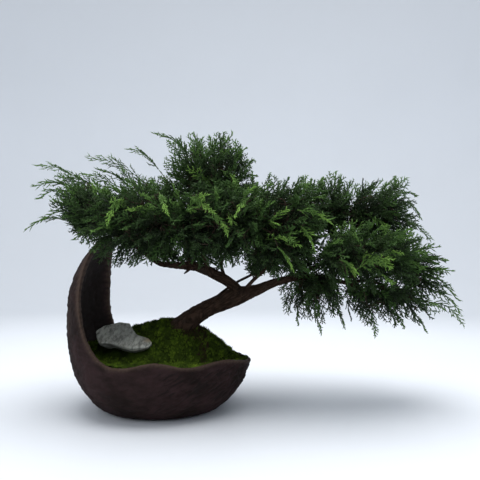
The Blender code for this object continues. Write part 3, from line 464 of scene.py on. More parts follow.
def shape(obj, kind, **settings):
    """Add one modifier and apply it."""
    pick(obj)
    modifier = obj.modifiers.new(kind.lower(), kind)
    for key, value in settings.items():
        setattr(modifier, key, value)
    bpy.ops.object.modifier_apply(modifier=modifier.name)


def cut(obj, cutter):
    shape(obj, "BOOLEAN", operation="DIFFERENCE", solver="EXACT", object=cutter)
    bpy.data.objects.remove(cutter, do_unlink=True)


def edit():
    """Enter edit mode with the whole mesh selected."""
    bpy.ops.object.mode_set(mode="EDIT")
    bpy.ops.mesh.select_all(action="SELECT")


def close_up(inside=False):
    """Turn every face outward, or inward, and leave edit mode."""
    bpy.ops.mesh.select_all(action="SELECT")
    bpy.ops.mesh.normals_make_consistent(inside=inside)
    bpy.ops.object.mode_set(mode="OBJECT")


def rows_of(obj, key="co"):
    """Places of the vertices, or their normals, as an array."""
    flat = np.empty(len(obj.data.vertices) * 3)
    obj.data.vertices.foreach_get(key, flat)
    return flat.reshape(-1, 3)


def ramp(values, start, reach):
    """Nought up to the start, then rising to one over the reach."""
    return np.clip((values - start) / reach, 0, 1)


def move_points(obj, points):
    obj.data.vertices.foreach_set("co", np.asarray(points, float).ravel())
    obj.data.update()


def tag(obj, name, values):
    """Store one number a vertex for the materials to read."""
    layer = obj.data.attributes.new(name, "FLOAT", "POINT")
    layer.data.foreach_set("value", np.asarray(values, np.float32))


def noise_at(points, size, offset=0.0):
    """Smooth noise between about -1 and 1 at each point, for lumps of a given size."""
    scaled = np.asarray(points) / np.asarray(size) + offset
    return np.array([noise.noise(row) for row in scaled.tolist()])


def mesh_piece(name, points, triangles, index, materials, smooth=True):
    """One object from arrays of points, triangles and a material index for each triangle."""
    mesh = bpy.data.meshes.new(name)
    mesh.vertices.add(len(points))
    mesh.vertices.foreach_set("co", np.asarray(points, np.float32).ravel())
    mesh.loops.add(len(triangles) * 3)
    mesh.loops.foreach_set("vertex_index", np.asarray(triangles, np.int32).ravel())
    mesh.polygons.add(len(triangles))
    mesh.polygons.foreach_set("loop_start", np.arange(0, len(triangles) * 3, 3, dtype=np.int32))
    mesh.polygons.foreach_set("material_index", np.asarray(index, np.int32))
    mesh.polygons.foreach_set("use_smooth", np.full(len(triangles), smooth))
    for mat in materials:
        mesh.materials.append(mat)
    mesh.update(calc_edges=True)
    obj = bpy.data.objects.new(name, mesh)
    bpy.context.scene.collection.objects.link(obj)
    return obj


def dress(obj, mat, slot, *nodes):
    """Smooth a finished piece, give it its material and body, and hide the nodes it stands for."""
    pick(obj)
    bpy.ops.object.shade_smooth()
    obj.data.materials.clear()
    obj.data.materials.append(mat)
    hand_over(obj, slot, *nodes)


def hand_over(obj, slot, *nodes):
    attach(obj, "root")
    if nodes:
        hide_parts(*nodes)


# Helpers for materials

def shade(colour, factor):
    return tuple(factor * c for c in colour)


class Number:
    """A socket that holds a number; arithmetic on it adds Math nodes."""

    def __init__(self, look, socket):
        self.look = look
        self.socket = socket

    def joined(self, operation, other):
        return self.look.number("ShaderNodeMath", {"operation": operation}, {0: self, 1: other})

    def __add__(self, other):
        return self.joined("ADD", other)

    __radd__ = __add__

    def __sub__(self, other):
        return self.joined("SUBTRACT", other)

    def __mul__(self, other):
        return self.joined("MULTIPLY", other)

class Look:
    """One material, with a method that adds any node."""

    def __init__(self, name, **constants):
        self.material = bpy.data.materials.new(name)
        self.material.use_nodes = True
        self.tree = self.material.node_tree
        self.shader = self.tree.nodes["Principled BSDF"]
        for key, value in constants.items():
            self.shader.inputs[key.replace("_", " ")].default_value = value

    def node(self, kind, settings, inputs):
        node = self.tree.nodes.new(kind)
        for key, value in settings.items():
            setattr(node, key, value)
        for key, value in inputs.items():
            self.put(node.inputs[key], value)
        return node

    def put(self, socket, value):
        source = value.socket if isinstance(value, Number) else value
        if isinstance(source, bpy.types.NodeSocket):
            self.tree.links.new(source, socket)
        else:
            socket.default_value = source

    def number(self, kind, settings, inputs, out=0):
        return Number(self, self.node(kind, settings, inputs).outputs[out])

    def place(self, scale=(1, 1, 1), turn=(0, 0, 0)):
        """Object coordinates, scaled and turned."""
        coords = self.node("ShaderNodeTexCoord", {}, {}).outputs["Object"]
        inputs = {"Vector": coords, "Scale": scale, "Rotation": turn}
        return self.node("ShaderNodeMapping", {}, inputs).outputs[0]

    def grain(self, scale, detail=3.0, rough=0.55, place=None):
        """Noise as a number around a half."""
        inputs = {"Vector": place or self.place(), "Scale": scale, "Detail": detail, "Roughness": rough}
        return self.number("ShaderNodeTexNoise", {}, inputs)

    def cells(self, scale, place=None):
        """Distance to the nearest of many scattered points."""
        return self.number("ShaderNodeTexVoronoi", {}, {"Vector": place or self.place(), "Scale": scale})

    def stepped(self, value, low, high):
        """The number, spread so that low becomes nought and high becomes one."""
        return self.number("ShaderNodeMapRange", {"interpolation_type": "SMOOTHSTEP"},
                           {"Value": value, "From Min": low, "From Max": high})

    def read(self, name):
        """A number stored on the mesh."""
        return self.number("ShaderNodeAttribute", {"attribute_name": name}, {}, out=2)

    def blend(self, first, second, share):
        """Colour between two colours."""
        ends = [c if isinstance(c, bpy.types.NodeSocket) else (*c, 1) for c in (first, second)]
        inputs = {0: share, 6: ends[0], 7: ends[1]}
        return self.node("ShaderNodeMix", {"data_type": "RGBA"}, inputs).outputs[2]

    def bump(self, height, strength, depth):
        node = self.node("ShaderNodeBump", {}, {"Height": height, "Strength": strength, "Distance": depth})
        self.feed("Normal", node.outputs[0])

    def feed(self, name, value):
        self.put(self.shader.inputs[name], value)


# Sizes and colours that a user would change

def colour(name, description, value):
    return FloatVectorProperty(name=name, description=description, default=value, size=3, min=0, max=1,
                               subtype="COLOR")


def length(name, description, value):
    return FloatProperty(name=name, description=description, default=value, unit="LENGTH")


class BonsaiPotLook(PropertyGroup):
    clay: colour("Clay", "Dark purplish brown of the stoneware", (0.0175, 0.0108, 0.0088))
    # also the colour of the warm painted light on the horn and the left side
    rim: colour("Rim", "Warm brown where the clay is thumbed and rubbed", (0.062, 0.041, 0.031))
    dents: length("Dents", "Depth of the hand-pressed dents", 1.9 * MM)
    voxel: length("Cell", "Size of the cells the pot is built from", 1.45 * MM)


class BonsaiGroundLook(PropertyGroup):
    tufts: IntProperty(name="Tufts", description="Number of moss tufts", default=9500)
    tuft: length("Tuft height", "Length of a moss shoot", 2.6 * MM)
    soil: colour("Soil", "Dark soil under the moss", (0.030, 0.020, 0.013))
    stone: colour("Stone", "Grey of the slab", (0.360, 0.365, 0.320))
    stain: colour("Stain", "Yellowish stain at the slab's right end", (0.250, 0.180, 0.080))


class BonsaiBarkLook(PropertyGroup):
    ridge: colour("Ridges", "Grey-brown of the bark's flakes", (0.046, 0.028, 0.019))
    crack: colour("Cracks", "Nearly black brown between the flakes", (0.012, 0.008, 0.006))
    relief: FloatProperty(name="Relief", description="Depth of the bark, as a share of the limb's radius",
                          default=0.18, subtype="FACTOR")
    voxel: length("Cell", "Size of the cells the limbs are fused from", 0.62 * MM)


class BonsaiFoliageLook(PropertyGroup):
    sprays: IntProperty(name="Sprays", description="Number of sprays on the whole tree", default=3000)
    spray: length("Spray", "Length of a spray", 31 * MM)
    twig: colour("Twigs", "Brown of the young wood", (0.050, 0.034, 0.022))


class BonsaiStageLook(PropertyGroup):
    floor: colour("Floor", "Pale floor and backdrop", (0.76, 0.79, 0.83))
    reach: length("Reach", "Radius of the flat floor", 1.5)
    height: length("Light height", "Height of the soft light", 1.25)


# Pot

def egg_radius(height, inset=0.0):
    """Radius of the egg at a height; inset moves the whole surface inward."""
    radius = POT_RADIUS - inset
    rise = height - POT_WIDEST
    if rise >= 0:
        part = min(rise / (POT_TOP_HALF - inset), 1.0)
        return radius * math.sqrt(1 - part * part)
    part = min(-rise / (POT_WIDEST + POT_UNDERCUT - inset), 1.0)
    return radius * (1 - part ** POT_BELLY) ** (1 / POT_BELLY)


def egg(name, inset, floor):
    """A round primitive drawn into the pot's egg, row by row, with a flat floor."""
    fresh()
    bpy.ops.mesh.primitive_uv_sphere_add(segments=EGG_SEGMENTS, ring_count=EGG_ROWS, radius=1)
    obj = started(name)
    points = rows_of(obj)
    row = np.rint(np.arccos(np.clip(points[:, 2], -1, 1)) / math.pi * EGG_ROWS).astype(int)
    foot = FOOT_RADIUS - FOOT_INSET * inset
    shoulder = floor + FOOT_BLEND
    last = egg_radius(shoulder, inset)
    profile = []
    for k in range(EGG_ROWS + 1):
        if k <= EGG_DOME:
            angle = math.radians(90 * k / EGG_DOME)
            height = POT_WIDEST + (POT_TOP_HALF - inset) * math.cos(angle)
            profile.append((egg_radius(height, inset), height))
        elif k <= EGG_BELLY:
            angle = math.radians(90 * (k - EGG_DOME) / (EGG_BELLY - EGG_DOME))
            height = POT_WIDEST + (shoulder - POT_WIDEST) * math.sin(angle)
            profile.append((egg_radius(height, inset), height))
        elif k <= EGG_FOOT:
            part = (k - EGG_BELLY) / (EGG_FOOT - EGG_BELLY)
            profile.append((last + (foot - last) * part, shoulder - FOOT_BLEND * part))
        else:
            profile.append((foot * (EGG_ROWS - k) / (EGG_ROWS - EGG_FOOT), floor))
    profile = np.array(profile)
    flat = np.hypot(points[:, 0], points[:, 1])
    scale = np.where(flat > 1e-6, profile[row, 0] / np.maximum(flat, 1e-6), 0)
    points[:, :2] *= scale[:, None]
    points[:, 2] = profile[row, 1]
    move_points(obj, points)
    return obj


def rim_height(x):
    return RIM_HEIGHT + RIM_WAVE * math.cos(2 * math.pi * (x - RIM_WAVE_CREST) / RIM_WAVE_LENGTH)


def opening_outline():
    """The opening seen from the front, as X and Z pairs."""
    points = []
    for k in range(RIM_STEPS + 1):
        x = OUTSIDE + (HORN_CENTRE[0] - OUTSIDE) * k / RIM_STEPS
        points.append((x, rim_height(x)))
    first = -math.pi / 2
    end = math.asin((HORN_TIP_HEIGHT - HORN_CENTRE[1]) / HORN_HALF_ABOVE)
    for k in range(1, HORN_STEPS + 1):
        angle = first + (end - first) * k / HORN_STEPS
        rise = HORN_HALF[1] if angle < 0 else HORN_HALF_ABOVE
        points.append((HORN_CENTRE[0] - HORN_HALF[0] * math.cos(angle),
                       HORN_CENTRE[1] + rise * math.sin(angle)))
    return points


def outline_block(name, outline, depth):
    """A flat outline filled and extruded both ways along Z."""
    fresh()
    bpy.ops.mesh.primitive_circle_add(vertices=len(outline), radius=1, fill_type="NGON")
    obj = started(name)
    move_points(obj, [(x, y, -depth / 2) for x, y in outline])
    edit()
    bpy.ops.mesh.extrude_region_move(TRANSFORM_OT_translate={"value": (0, 0, depth)})
    close_up()
    return obj


def clay_relief(points, normals, dents):
    """How far the hand-worked clay lies under the smooth egg; below nought it stands proud."""
    slant = points @ np.array(CLAY_SLANT)
    broad = noise_at(points, DENT_SIZE)
    scrape = 1 - np.abs(noise_at(slant, SCRAPE_SIZE, 7.0))
    wrinkle = 1 - np.abs(noise_at(slant, WRINKLE_SIZE, 17.0))
    pits = noise_at(points, PIT_SIZE, 13.0)
    creased = ramp(points[:, 0], *CREASE_X) * ramp(points[:, 2], *CREASE_Z)
    outward = np.clip(np.hypot(normals[:, 0], normals[:, 1]) * 1.5, 0, 1)
    rough = 0.45 * broad + 0.5 * scrape ** 3 + 0.16 * pits + (0.15 + 0.9 * creased) * wrinkle ** 5
    return dents * (rough - 0.1) * (0.25 + 0.75 * outward)


def opening_frame(points):
    """Points as X and Z pairs in the tilted frame that the opening's outline is drawn in."""
    turn = np.array(Euler((math.radians(90) - OPENING_FALL, 0, OPENING_TURN)).to_matrix())
    return ((points - np.array(OPENING_PLACE)) @ turn)[:, :2]


def clay_look(look):
    """Dark purplish stoneware, rubbed warm along the rim, with warm painted light up the horn and on the
    left side and painted shade in the dents and inside.
    """
    base = Look("stoneware", Roughness=0.82, Specular_IOR_Level=0.08)
    cloud = base.grain(26, 5, 0.6)
    speck = base.stepped(base.cells(900), 0.34, 0.12)
    fine = base.grain(420, 4, 0.65)
    streaks = base.grain(70, 4, 0.6, base.place((1, 1, 2.6), (0, math.radians(32), 0)))
    plum = (look.clay[0] * 1.9, look.clay[1] * 1.7, look.clay[2] * 2.1)
    body = base.blend(shade(look.clay, 0.62), plum, base.stepped(cloud * 0.6 + streaks * 0.4, 0.36, 0.66))
    # warm where the rim is rubbed, and warm painted light on the horn and the left side
    rubbed_and_lit = base.stepped(base.read("rubbed_and_lit") + (fine - 0.5) * 0.5 + (cloud - 0.5) * 0.6, 0.25, 1.0)
    body = base.blend(body, look.rim, rubbed_and_lit)
    # painted shade: darker in the dents and creases and on the pot's inside
    body = base.blend(body, (0.012, 0.009, 0.008), base.stepped(base.read("painted_shade"), 0.40, 0.85) * 0.75)
    body = base.blend(body, (0.02, 0.014, 0.012), speck * 0.45)
    base.feed("Base Color", body)
    base.feed("Roughness", 0.72 + fine * 0.25)
    base.bump(fine * 0.6 + streaks * 0.8 - speck * 0.5, 0.55, 0.6 * MM)
    return base.material


class BONSAI_OT_pot(Operator):
    """Build the crescent pot of hand-worked stoneware"""

    bl_idname = "bonsai.pot"
    bl_label = "Pot"

    def execute(self, context):
        look = context.scene.bonsai_pot
        pot = egg("crescent_pot", 0.0, 0.0)
        cut(pot, egg("inside", POT_WALL, POT_FLOOR))
        outline = opening_outline()
        edge = np.array(outline)
        outline += [(outline[-1][0] + 8 * MM, OPENING_TOP), (OUTSIDE, OPENING_TOP)]
        opening = outline_block("opening", outline, 2 * OUTSIDE)
        opening.rotation_euler = (math.radians(90) - OPENING_FALL, 0, OPENING_TURN)
        opening.location = OPENING_PLACE
        settle(opening)
        cut(pot, opening)
        shape(pot, "REMESH", mode="VOXEL", voxel_size=look.voxel)
        shape(pot, "SMOOTH", factor=0.5, iterations=5)
        points = rows_of(pot)
        normals = rows_of(pot, "normal")
        flat = opening_frame(points)
        gap = np.hypot(flat[:, None, 0] - edge[None, :, 0], flat[:, None, 1] - edge[None, :, 1]).min(1)
        near = 1 - ramp(gap, 0, RIM_WEAR)
        sunk = clay_relief(points, normals, look.dents)
        standing = ramp(points[:, 2], 0, FOOT_FADE)
        points -= normals * (sunk * standing * (1 - 0.55 * near))[:, None]
        low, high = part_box("pot")
        points = np.clip(points, np.array(low), np.array(high))
        move_points(pot, points)
        # painted light: the horn's upper part and the pot's left side are lit warm, on top of the rubbed rim
        horn = ramp(points[:, 2], *HORN_PAINTED_LIGHT) * (normals[:, 0] < 0.2)
        left = ramp(-points[:, 0], *LEFT_PAINTED_LIGHT) * ramp(points[:, 2], *LEFT_PAINTED_LIGHT_Z)
        outer = (points[:, 0] * normals[:, 0] + points[:, 1] * normals[:, 1] > 0).astype(float)
        tag(pot, "rubbed_and_lit", np.clip(near ** 1.5 + 0.55 * np.maximum(horn, left) * outer, 0, 1))
        # painted shade: the dents and the inward faces, fading near the rim
        tag(pot, "painted_shade", np.clip(sunk / look.dents, 0, 1) * (1 - near) + (1 - outer) * (1 - near) * 0.9)
        dress(pot, clay_look(look), "pot", "pot")
        return {"FINISHED"}


# Ground

def moss_height(x, y):
    dx = x - MOUND_CENTRE[0]
    side = 0 if dx > 0 else 1
    across = (abs(dx) / MOUND_REACH[side]) ** MOUND_POWERS[side]
    along = (abs(y - MOUND_CENTRE[1]) / MOUND_REACH[2]) ** MOUND_POWERS[2]
    edge = MOSS_EDGE - math.tan(OPENING_FALL) * (y + POT_RADIUS)
    away = math.hypot(x - STONE_CENTRE[0], y - STONE_CENTRE[1]) / STONE_BANK[1]
    bank = STONE_BANK[0] * math.exp(-away * away)
    lumps = MOSS_LUMP[0] * noise.noise(Vector((x, y, 0)) / MOSS_LUMP[1])
    return edge + MOSS_RISE * max(0.0, 1 - across - along) + bank + lumps


def turned(across, up, angle):
    """Two rows of coordinates seen from axes that are turned by an angle."""
    c, s = math.cos(angle), math.sin(angle)
    return across * c + up * s, -across * s + up * c


def stone_local(points):
    """Points in the slab's own frame, where its outline is flat."""
    x, y, z = (np.asarray(points) - np.array(STONE_CENTRE)).T
    x, y = turned(x, y, STONE_TURN)
    y, z = turned(y, z, STONE_TILT)
    return np.stack([x, y, z], 1)


def inside_outline(x, y, outline):
    """Which points lie inside a flat closed outline."""
    inside = np.zeros(len(x), bool)
    for (x1, y1), (x2, y2) in zip(outline, outline[1:] + outline[:1]):
        crosses = (y1 > y) != (y2 > y)
        reach = (x2 - x1) * (y - y1) / (y2 - y1 if y2 != y1 else 1e-9) + x1
        inside ^= crosses & (x < reach)
    return inside


def tuft_shape(rng):
    """One moss shoot cluster: short spikes leaning out, three triangles each."""
    points = []
    triangles = []
    for k in range(TUFT_SPIKES):
        angle = math.tau * (k + rng.random()) / TUFT_SPIKES
        lean = 0.25 + 0.75 * rng.random()
        tip = np.array([math.cos(angle) * lean, math.sin(angle) * lean, 0.7 + 0.5 * rng.random()])
        base = np.array([math.cos(angle), math.sin(angle), 0]) * 0.12
        ring = [base + 0.26 * np.array([math.cos(a), math.sin(a), -0.4])
                for a in (angle, angle + math.tau / 3, angle - math.tau / 3)]
        first = len(points)
        points += ring + [tip]
        triangles += [(first, first + 1, first + 3), (first + 1, first + 2, first + 3),
                      (first + 2, first, first + 3)]
    return np.array(points), np.array(triangles)


def dead_moss(x, y):
    """Share of dark brown tufts: litter round the trunk's foot, and a dark streak toward the viewer."""
    foot = math.hypot(x - LITTER_CENTRE[0], (y - LITTER_CENTRE[1]) * 1.1)
    around = max(0.0, 1 - foot / LITTER_REACH)
    streak = max(0.0, 1 - abs(x - STREAK_X[0]) / STREAK_X[1]) if STREAK_Y[0] < y < STREAK_Y[1] else 0.0
    return max(around * 1.2, streak * 0.75)


class BONSAI_OT_ground(Operator):
    """Lay the moss carpet and give the soil under it its finish"""

    bl_idname = "bonsai.ground"
    bl_label = "Moss and soil"

    def execute(self, context):
        look = context.scene.bonsai_ground
        self.soil(look)
        self.tufts(look)
        dress(self.bed(), self.bed_look(), "moss", "moss")
        return {"FINISHED"}

    def spots(self, rng, look):
        """Where tufts stand: scattered over the ground inside the pot, but not under the slab."""
        spots = []
        for _ in range(look.tufts * 3):
            if len(spots) >= look.tufts:
                break
            x, y = rng.uniform(-MOSS_FIELD, MOSS_FIELD) * MM, rng.uniform(-MOSS_FIELD, MOSS_FIELD) * MM
            z = moss_height(x, y)
            if math.hypot(x, y) <= egg_radius(z, POT_WALL) - TUFT_GAP:
                spots.append((x, y, z))
        spots = np.array(spots)
        local = stone_local(spots)
        edge = [(x * MM, y * MM) for x, y in STONE_OUTLINE]
        covered = inside_outline(local[:, 0], local[:, 1], edge) & (local[:, 2] < 9 * MM)
        return spots[~covered]

    def tufts(self, look):
        """The moss's shoots, in greens that change from patch to patch."""
        rng = random.Random(SEED)
        spots = self.spots(rng, look)
        patterns = [tuft_shape(rng) for _ in range(TUFT_PATTERNS)]
        looks = [Look(name, Roughness=0.9, Base_Color=(*tone, 1), Specular_IOR_Level=0.1).material
                 for name, tone in MOSS_TINTS]
        dead = len(looks) - 1
        parts, index = [], []
        for x, y, z in spots.tolist():
            pattern, faces = patterns[rng.randrange(TUFT_PATTERNS)]
            cushion = 1 + 0.6 * noise.noise(Vector((x, y, 5)) / CUSHION_SIZE)
            size = look.tuft * cushion * rng.uniform(0.6, 1.15)
            turn = rng.uniform(0, math.tau)
            rows = pattern * np.array([size * 0.85, size * 0.85, size])
            across, along = turned(rows[:, 0], rows[:, 1], -turn)
            parts.append((np.stack([across + x, along + y, rows[:, 2] + z], 1), faces))
            broad, small = [noise.noise(Vector((x, y, 3 * k)) / lump)
                            for k, lump in zip((1, 3), PATCH_SIZES)]
            lit = 0.9 + 1.2 * (broad + 0.5 * small) + 0.9 * cushion + rng.uniform(-0.9, 0.7)
            tone = dead if rng.random() < dead_moss(x, y) else int(min(dead - 1, max(0, lit)))
            index.append(np.full(len(faces), tone))
        hand_over(mesh_piece("moss_tufts", *joined(parts), np.concatenate(index), looks), "moss")

    def bed(self):
        """The rolling ground that the tufts stand on, cut to the inside of the pot."""
        fresh()
        bpy.ops.mesh.primitive_grid_add(x_subdivisions=BED_CELLS, y_subdivisions=BED_CELLS,
                                        size=2 * POT_RADIUS)
        bed = started("moss_bed")
        points = rows_of(bed)
        flat = np.hypot(points[:, 0], points[:, 1])
        grow = np.maximum(np.abs(points[:, 0]), np.abs(points[:, 1])) / np.maximum(flat, 1e-9)
        points[:, :2] *= grow[:, None]
        for point in points:
            reach = egg_radius(moss_height(point[0], point[1]), POT_WALL) + BED_OVERLAP
            away = math.hypot(point[0], point[1])
            if away > reach:
                point[:2] *= reach / away
            point[2] = moss_height(point[0], point[1])
        points[:, 2] += sum(noise_at(points, size, offset) * height for size, offset, height in BED_LUMPS)
        move_points(bed, points)
        shape(bed, "SOLIDIFY", thickness=BED_THICK, offset=-1)
        return bed

    def bed_look(self):
        look = Look("moss_bed", Roughness=0.95, Specular_IOR_Level=0.05)
        patch = look.grain(90, 4, 0.6)
        fine = look.grain(900, 2, 0.6)
        tone = look.blend((0.016, 0.026, 0.004), (0.045, 0.078, 0.008), look.stepped(patch, 0.4, 0.65))
        tone = look.blend(tone, (0.012, 0.008, 0.005), look.stepped(fine, 0.55, 0.75))
        look.feed("Base Color", tone)
        look.bump(fine, 0.8, 0.8 * MM)
        return look.material

    def soil(self, look):
        """Dark crumbs of soil on the solid that is carried over."""
        finish = Look("soil_crumbs", Roughness=0.95)
        crumbs = finish.cells(420)
        fine = finish.grain(260, 4, 0.65)
        lit = finish.stepped(crumbs + fine * 0.3, 0.2, 0.8)
        finish.feed("Base Color", finish.blend(look.soil, shade(look.soil, 2.2), lit))
        finish.bump(crumbs + fine * 0.4, 0.8, 1.2 * MM)
        node = frame["nodes"]["soil"]
        node.data.materials.clear()
        node.data.materials.append(finish.material)


class BONSAI_OT_stone(Operator):
    """Split the flat foliated stone"""

    bl_idname = "bonsai.stone"
    bl_label = "Stone"

    def execute(self, context):
        look = context.scene.bonsai_ground
        outline = [(x * MM, y * MM) for x, y in STONE_OUTLINE]
        stone = outline_block("flat_stone", outline, STONE_THICK)
        shape(stone, "BEVEL", width=STONE_BEVEL, segments=2, limit_method="ANGLE",
              angle_limit=math.radians(40))
        shape(stone, "REMESH", mode="VOXEL", voxel_size=STONE_VOXEL)
        shape(stone, "SMOOTH", factor=0.5, iterations=3)
        points = rows_of(stone)
        normals = rows_of(stone, "normal")
        side = np.clip(1 - np.abs(normals[:, 2]) * 1.4, 0, 1)
        layers = np.abs(noise_at(points, LAYER_SIZE))
        chips = noise_at(points, CHIP_SIZE, 3.0)
        sheet = noise_at(points, SHEET_SIZE, 8.0)
        grit = noise_at(points @ np.array(STONE_SLANT), GRIT_SIZE, 5.0)
        edges = 1.6 * layers + 0.9 * (chips + 0.6)
        sunk = side * edges + (1 - side) * (0.55 * (sheet + 0.6) + 0.26 * grit)
        points -= normals * (sunk * MM)[:, None]
        points[:, :2] *= (1 - STONE_NARROWS * ramp(-points[:, 2], *STONE_FOOT))[:, None]
        away = np.hypot(points[:, 0] - STAIN_PLACE[0], points[:, 1] - STAIN_PLACE[1])
        tag(stone, "stain", 1 - ramp(away, 0, STAIN_REACH))
        # the side faces, for the painted shade on the slab's sides
        tag(stone, "edge", side)
        move_points(stone, points)
        stone.location = STONE_CENTRE
        stone.rotation_euler = (STONE_TILT, 0, STONE_TURN)
        settle(stone)
        dress(stone, self.slate(look), "stone", "stone")
        return {"FINISHED"}

    def slate(self, look):
        finish = Look("slate", Roughness=0.75, Specular_IOR_Level=0.3)
        along = finish.place((3.4, 1, 2), (0, 0, math.radians(-35)))
        veins = finish.grain(90, 6, 0.65, along)
        cloud = finish.grain(30, 3, 0.5)
        fine = finish.grain(700, 3, 0.6)
        dark = shade(look.stone, 0.42)
        stain = finish.stepped(finish.read("stain") * veins * 2, 0.25, 0.9)
        tone = finish.blend(dark, look.stone, finish.stepped(veins, 0.34, 0.56))
        bare = finish.stepped(veins * 0.6 + cloud * 0.5, 0.56, 0.74)
        tone = finish.blend(tone, shade(look.stone, 1.5), bare)
        tone = finish.blend(tone, look.stain, stain * 0.75)
        tone = finish.blend(tone, dark, finish.stepped(fine, 0.52, 0.70) * 0.6)
        # painted shade: the slab's side faces are darkened
        tone = finish.blend(tone, dark, finish.read("edge") * 0.8)
        finish.feed("Base Color", tone)
        finish.bump(veins * 0.8 + fine * 0.3, 0.5, 0.8 * MM)
        return finish.material


# Limbs

def smooth_path(points):
    """Catmull-Rom curve through points of X, Y, Z and radius in millimetres, as an array in metres."""
    knots = np.array(points, float) * MM
    knots = np.vstack([2 * knots[0] - knots[1], knots, 2 * knots[-1] - knots[-2]])
    path = []
    for a, b, c, d in zip(knots, knots[1:], knots[2:], knots[3:]):
        for k in range(PATH_STEPS):
            t = k / PATH_STEPS
            path.append(0.5 * (2 * b + (c - a) * t + (2 * a - 5 * b + 4 * c - d) * t * t
                               + (3 * b - a - 3 * c + d) * t ** 3))
    path.append(knots[-2])
    return np.array(path)


def limb(name, path):
    """A round limb swept along a path."""
    fresh()
    bpy.ops.curve.primitive_nurbs_path_add()
    obj = started(name)
    curve = obj.data
    curve.splines.clear()
    curve.bevel_depth = 1.0
    curve.bevel_resolution = 4
    curve.use_fill_caps = True
    spline = curve.splines.new("POLY")
    spline.points.add(len(path) - 1)
    spline.points.foreach_set("co", np.hstack([path[:, :3], np.ones((len(path), 1))]).ravel())
    spline.points.foreach_set("radius", path[:, 3])
    pick(obj)
    bpy.ops.object.convert(target="MESH")
    obj = bpy.context.object
    pick(obj)
    edit()
    bpy.ops.mesh.remove_doubles(threshold=0.001 * MM)
    close_up()
    return obj


def bark_place(points, paths):
    """For each point: how far along its limb it lies, the angle round it and the limb's radius."""
    tree = kdtree.KDTree(sum(len(path) for path in paths))
    rows = []
    for number, path in enumerate(paths):
        steps = np.linalg.norm(np.diff(path[:, :3], axis=0), axis=1)
        along = np.concatenate([[0], np.cumsum(steps)]) + number * LIMB_SHIFT
        heading = np.gradient(path[:, :3], axis=0)
        heading /= np.linalg.norm(heading, axis=1)[:, None]
        side = np.cross(heading, (0.0, 1.0, 0.0))
        side /= np.linalg.norm(side, axis=1)[:, None]
        for k in range(len(path)):
            tree.insert(path[k, :3], len(rows))
            rows.append((*path[k], along[k], *side[k], *np.cross(heading[k], side[k]), *heading[k]))
    tree.balance()
    rows = np.array(rows)
    nearest = np.array([tree.find(point)[1] for point in points.tolist()])
    found = rows[nearest]
    offset = points - found[:, :3]
    along = found[:, 4] + np.einsum("ij,ij->i", offset, found[:, 11:14])
    angle = np.arctan2(np.einsum("ij,ij->i", offset, found[:, 8:11]),
                       np.einsum("ij,ij->i", offset, found[:, 5:8]))
    return along, angle, found[:, 3]


def bark_relief(along, angle, radius):
    """Twisting muscle and long flakes, between nought and one, from deep crack to high flake."""
    twist = angle + along / BARK_TWIST
    ring = np.stack([np.cos(twist), np.sin(twist)], 1)
    muscle = noise_at(np.column_stack([ring * 1.15, along / (38 * MM)]), 1.0)
    girth = np.maximum(radius, 2.2 * MM)[:, None] / MM
    flakes = noise_at(np.column_stack([ring * girth * 0.62, along / (6.5 * MM)]), 1.0, 21.0)
    strips = noise_at(np.column_stack([ring * girth * 1.35, along / (11 * MM)]), 1.0, 5.0)
    crack = np.clip(np.abs(strips) * 3.2, 0, 1)
    return muscle, np.clip(0.5 + 0.6 * flakes, 0, 1), crack


class BONSAI_OT_limbs(Operator):
    """Fuse the trunk and boughs into one tree of flaking bark"""

    bl_idname = "bonsai.limbs"
    bl_label = "Trunk and boughs"

    def execute(self, context):
        look = context.scene.bonsai_bark
        tables = [TRUNK, *BOUGHS.values(), *SMALL_LIMBS]
        paths = [smooth_path(points) for points in tables]
        limbs = [limb("limb", path) for path in paths]
        fresh()
        for obj in limbs:
            obj.select_set(True)
        bpy.context.view_layer.objects.active = limbs[0]
        bpy.ops.object.join()
        tree = started("trunk_and_boughs")
        shape(tree, "REMESH", mode="VOXEL", voxel_size=look.voxel)
        shape(tree, "SMOOTH", factor=0.6, iterations=5)
        points = rows_of(tree)
        along, angle, radius = bark_place(points, paths)
        muscle, flakes, crack = bark_relief(along, angle, radius)
        depth = look.relief * np.minimum(radius, THICK_LIMB)
        thin = np.clip(radius / THIN_LIMB, 0.35, 1)
        sunk = depth * (0.9 * (0.5 - 0.5 * muscle) + thin * (0.55 * (1 - crack) + 0.5 * (1 - flakes)))
        points -= rows_of(tree, "normal") * (sunk - 0.35 * depth)[:, None]
        move_points(tree, points)
        tag(tree, "crack", 1 - crack)
        tag(tree, "flake", flakes)
        dress(tree, self.bark(look), "bark", "trunk", *BOUGHS)
        return {"FINISHED"}

    def bark(self, look):
        finish = Look("juniper_bark", Roughness=0.9, Specular_IOR_Level=0.06)
        patch = finish.grain(60, 4, 0.6)
        fine = finish.grain(900, 3, 0.6)
        grey = (0.046, 0.037, 0.030)
        flaked = finish.stepped(finish.read("flake") + (fine - 0.5) * 0.5, 0.25, 0.75)
        tone = finish.blend(shade(look.ridge, 0.45), look.ridge, flaked)
        tone = finish.blend(tone, grey, finish.stepped(patch, 0.52, 0.72) * 0.55)
        tone = finish.blend(tone, look.crack, finish.stepped(finish.read("crack"), 0.45, 0.95))
        finish.feed("Base Color", tone)
        finish.bump(fine * 0.5 + finish.read("flake"), 0.5, 0.5 * MM)
        return finish.material


# Foliage

def unit(vector):
    vector = np.asarray(vector, float)
    return vector / np.linalg.norm(vector, axis=-1, keepdims=True)


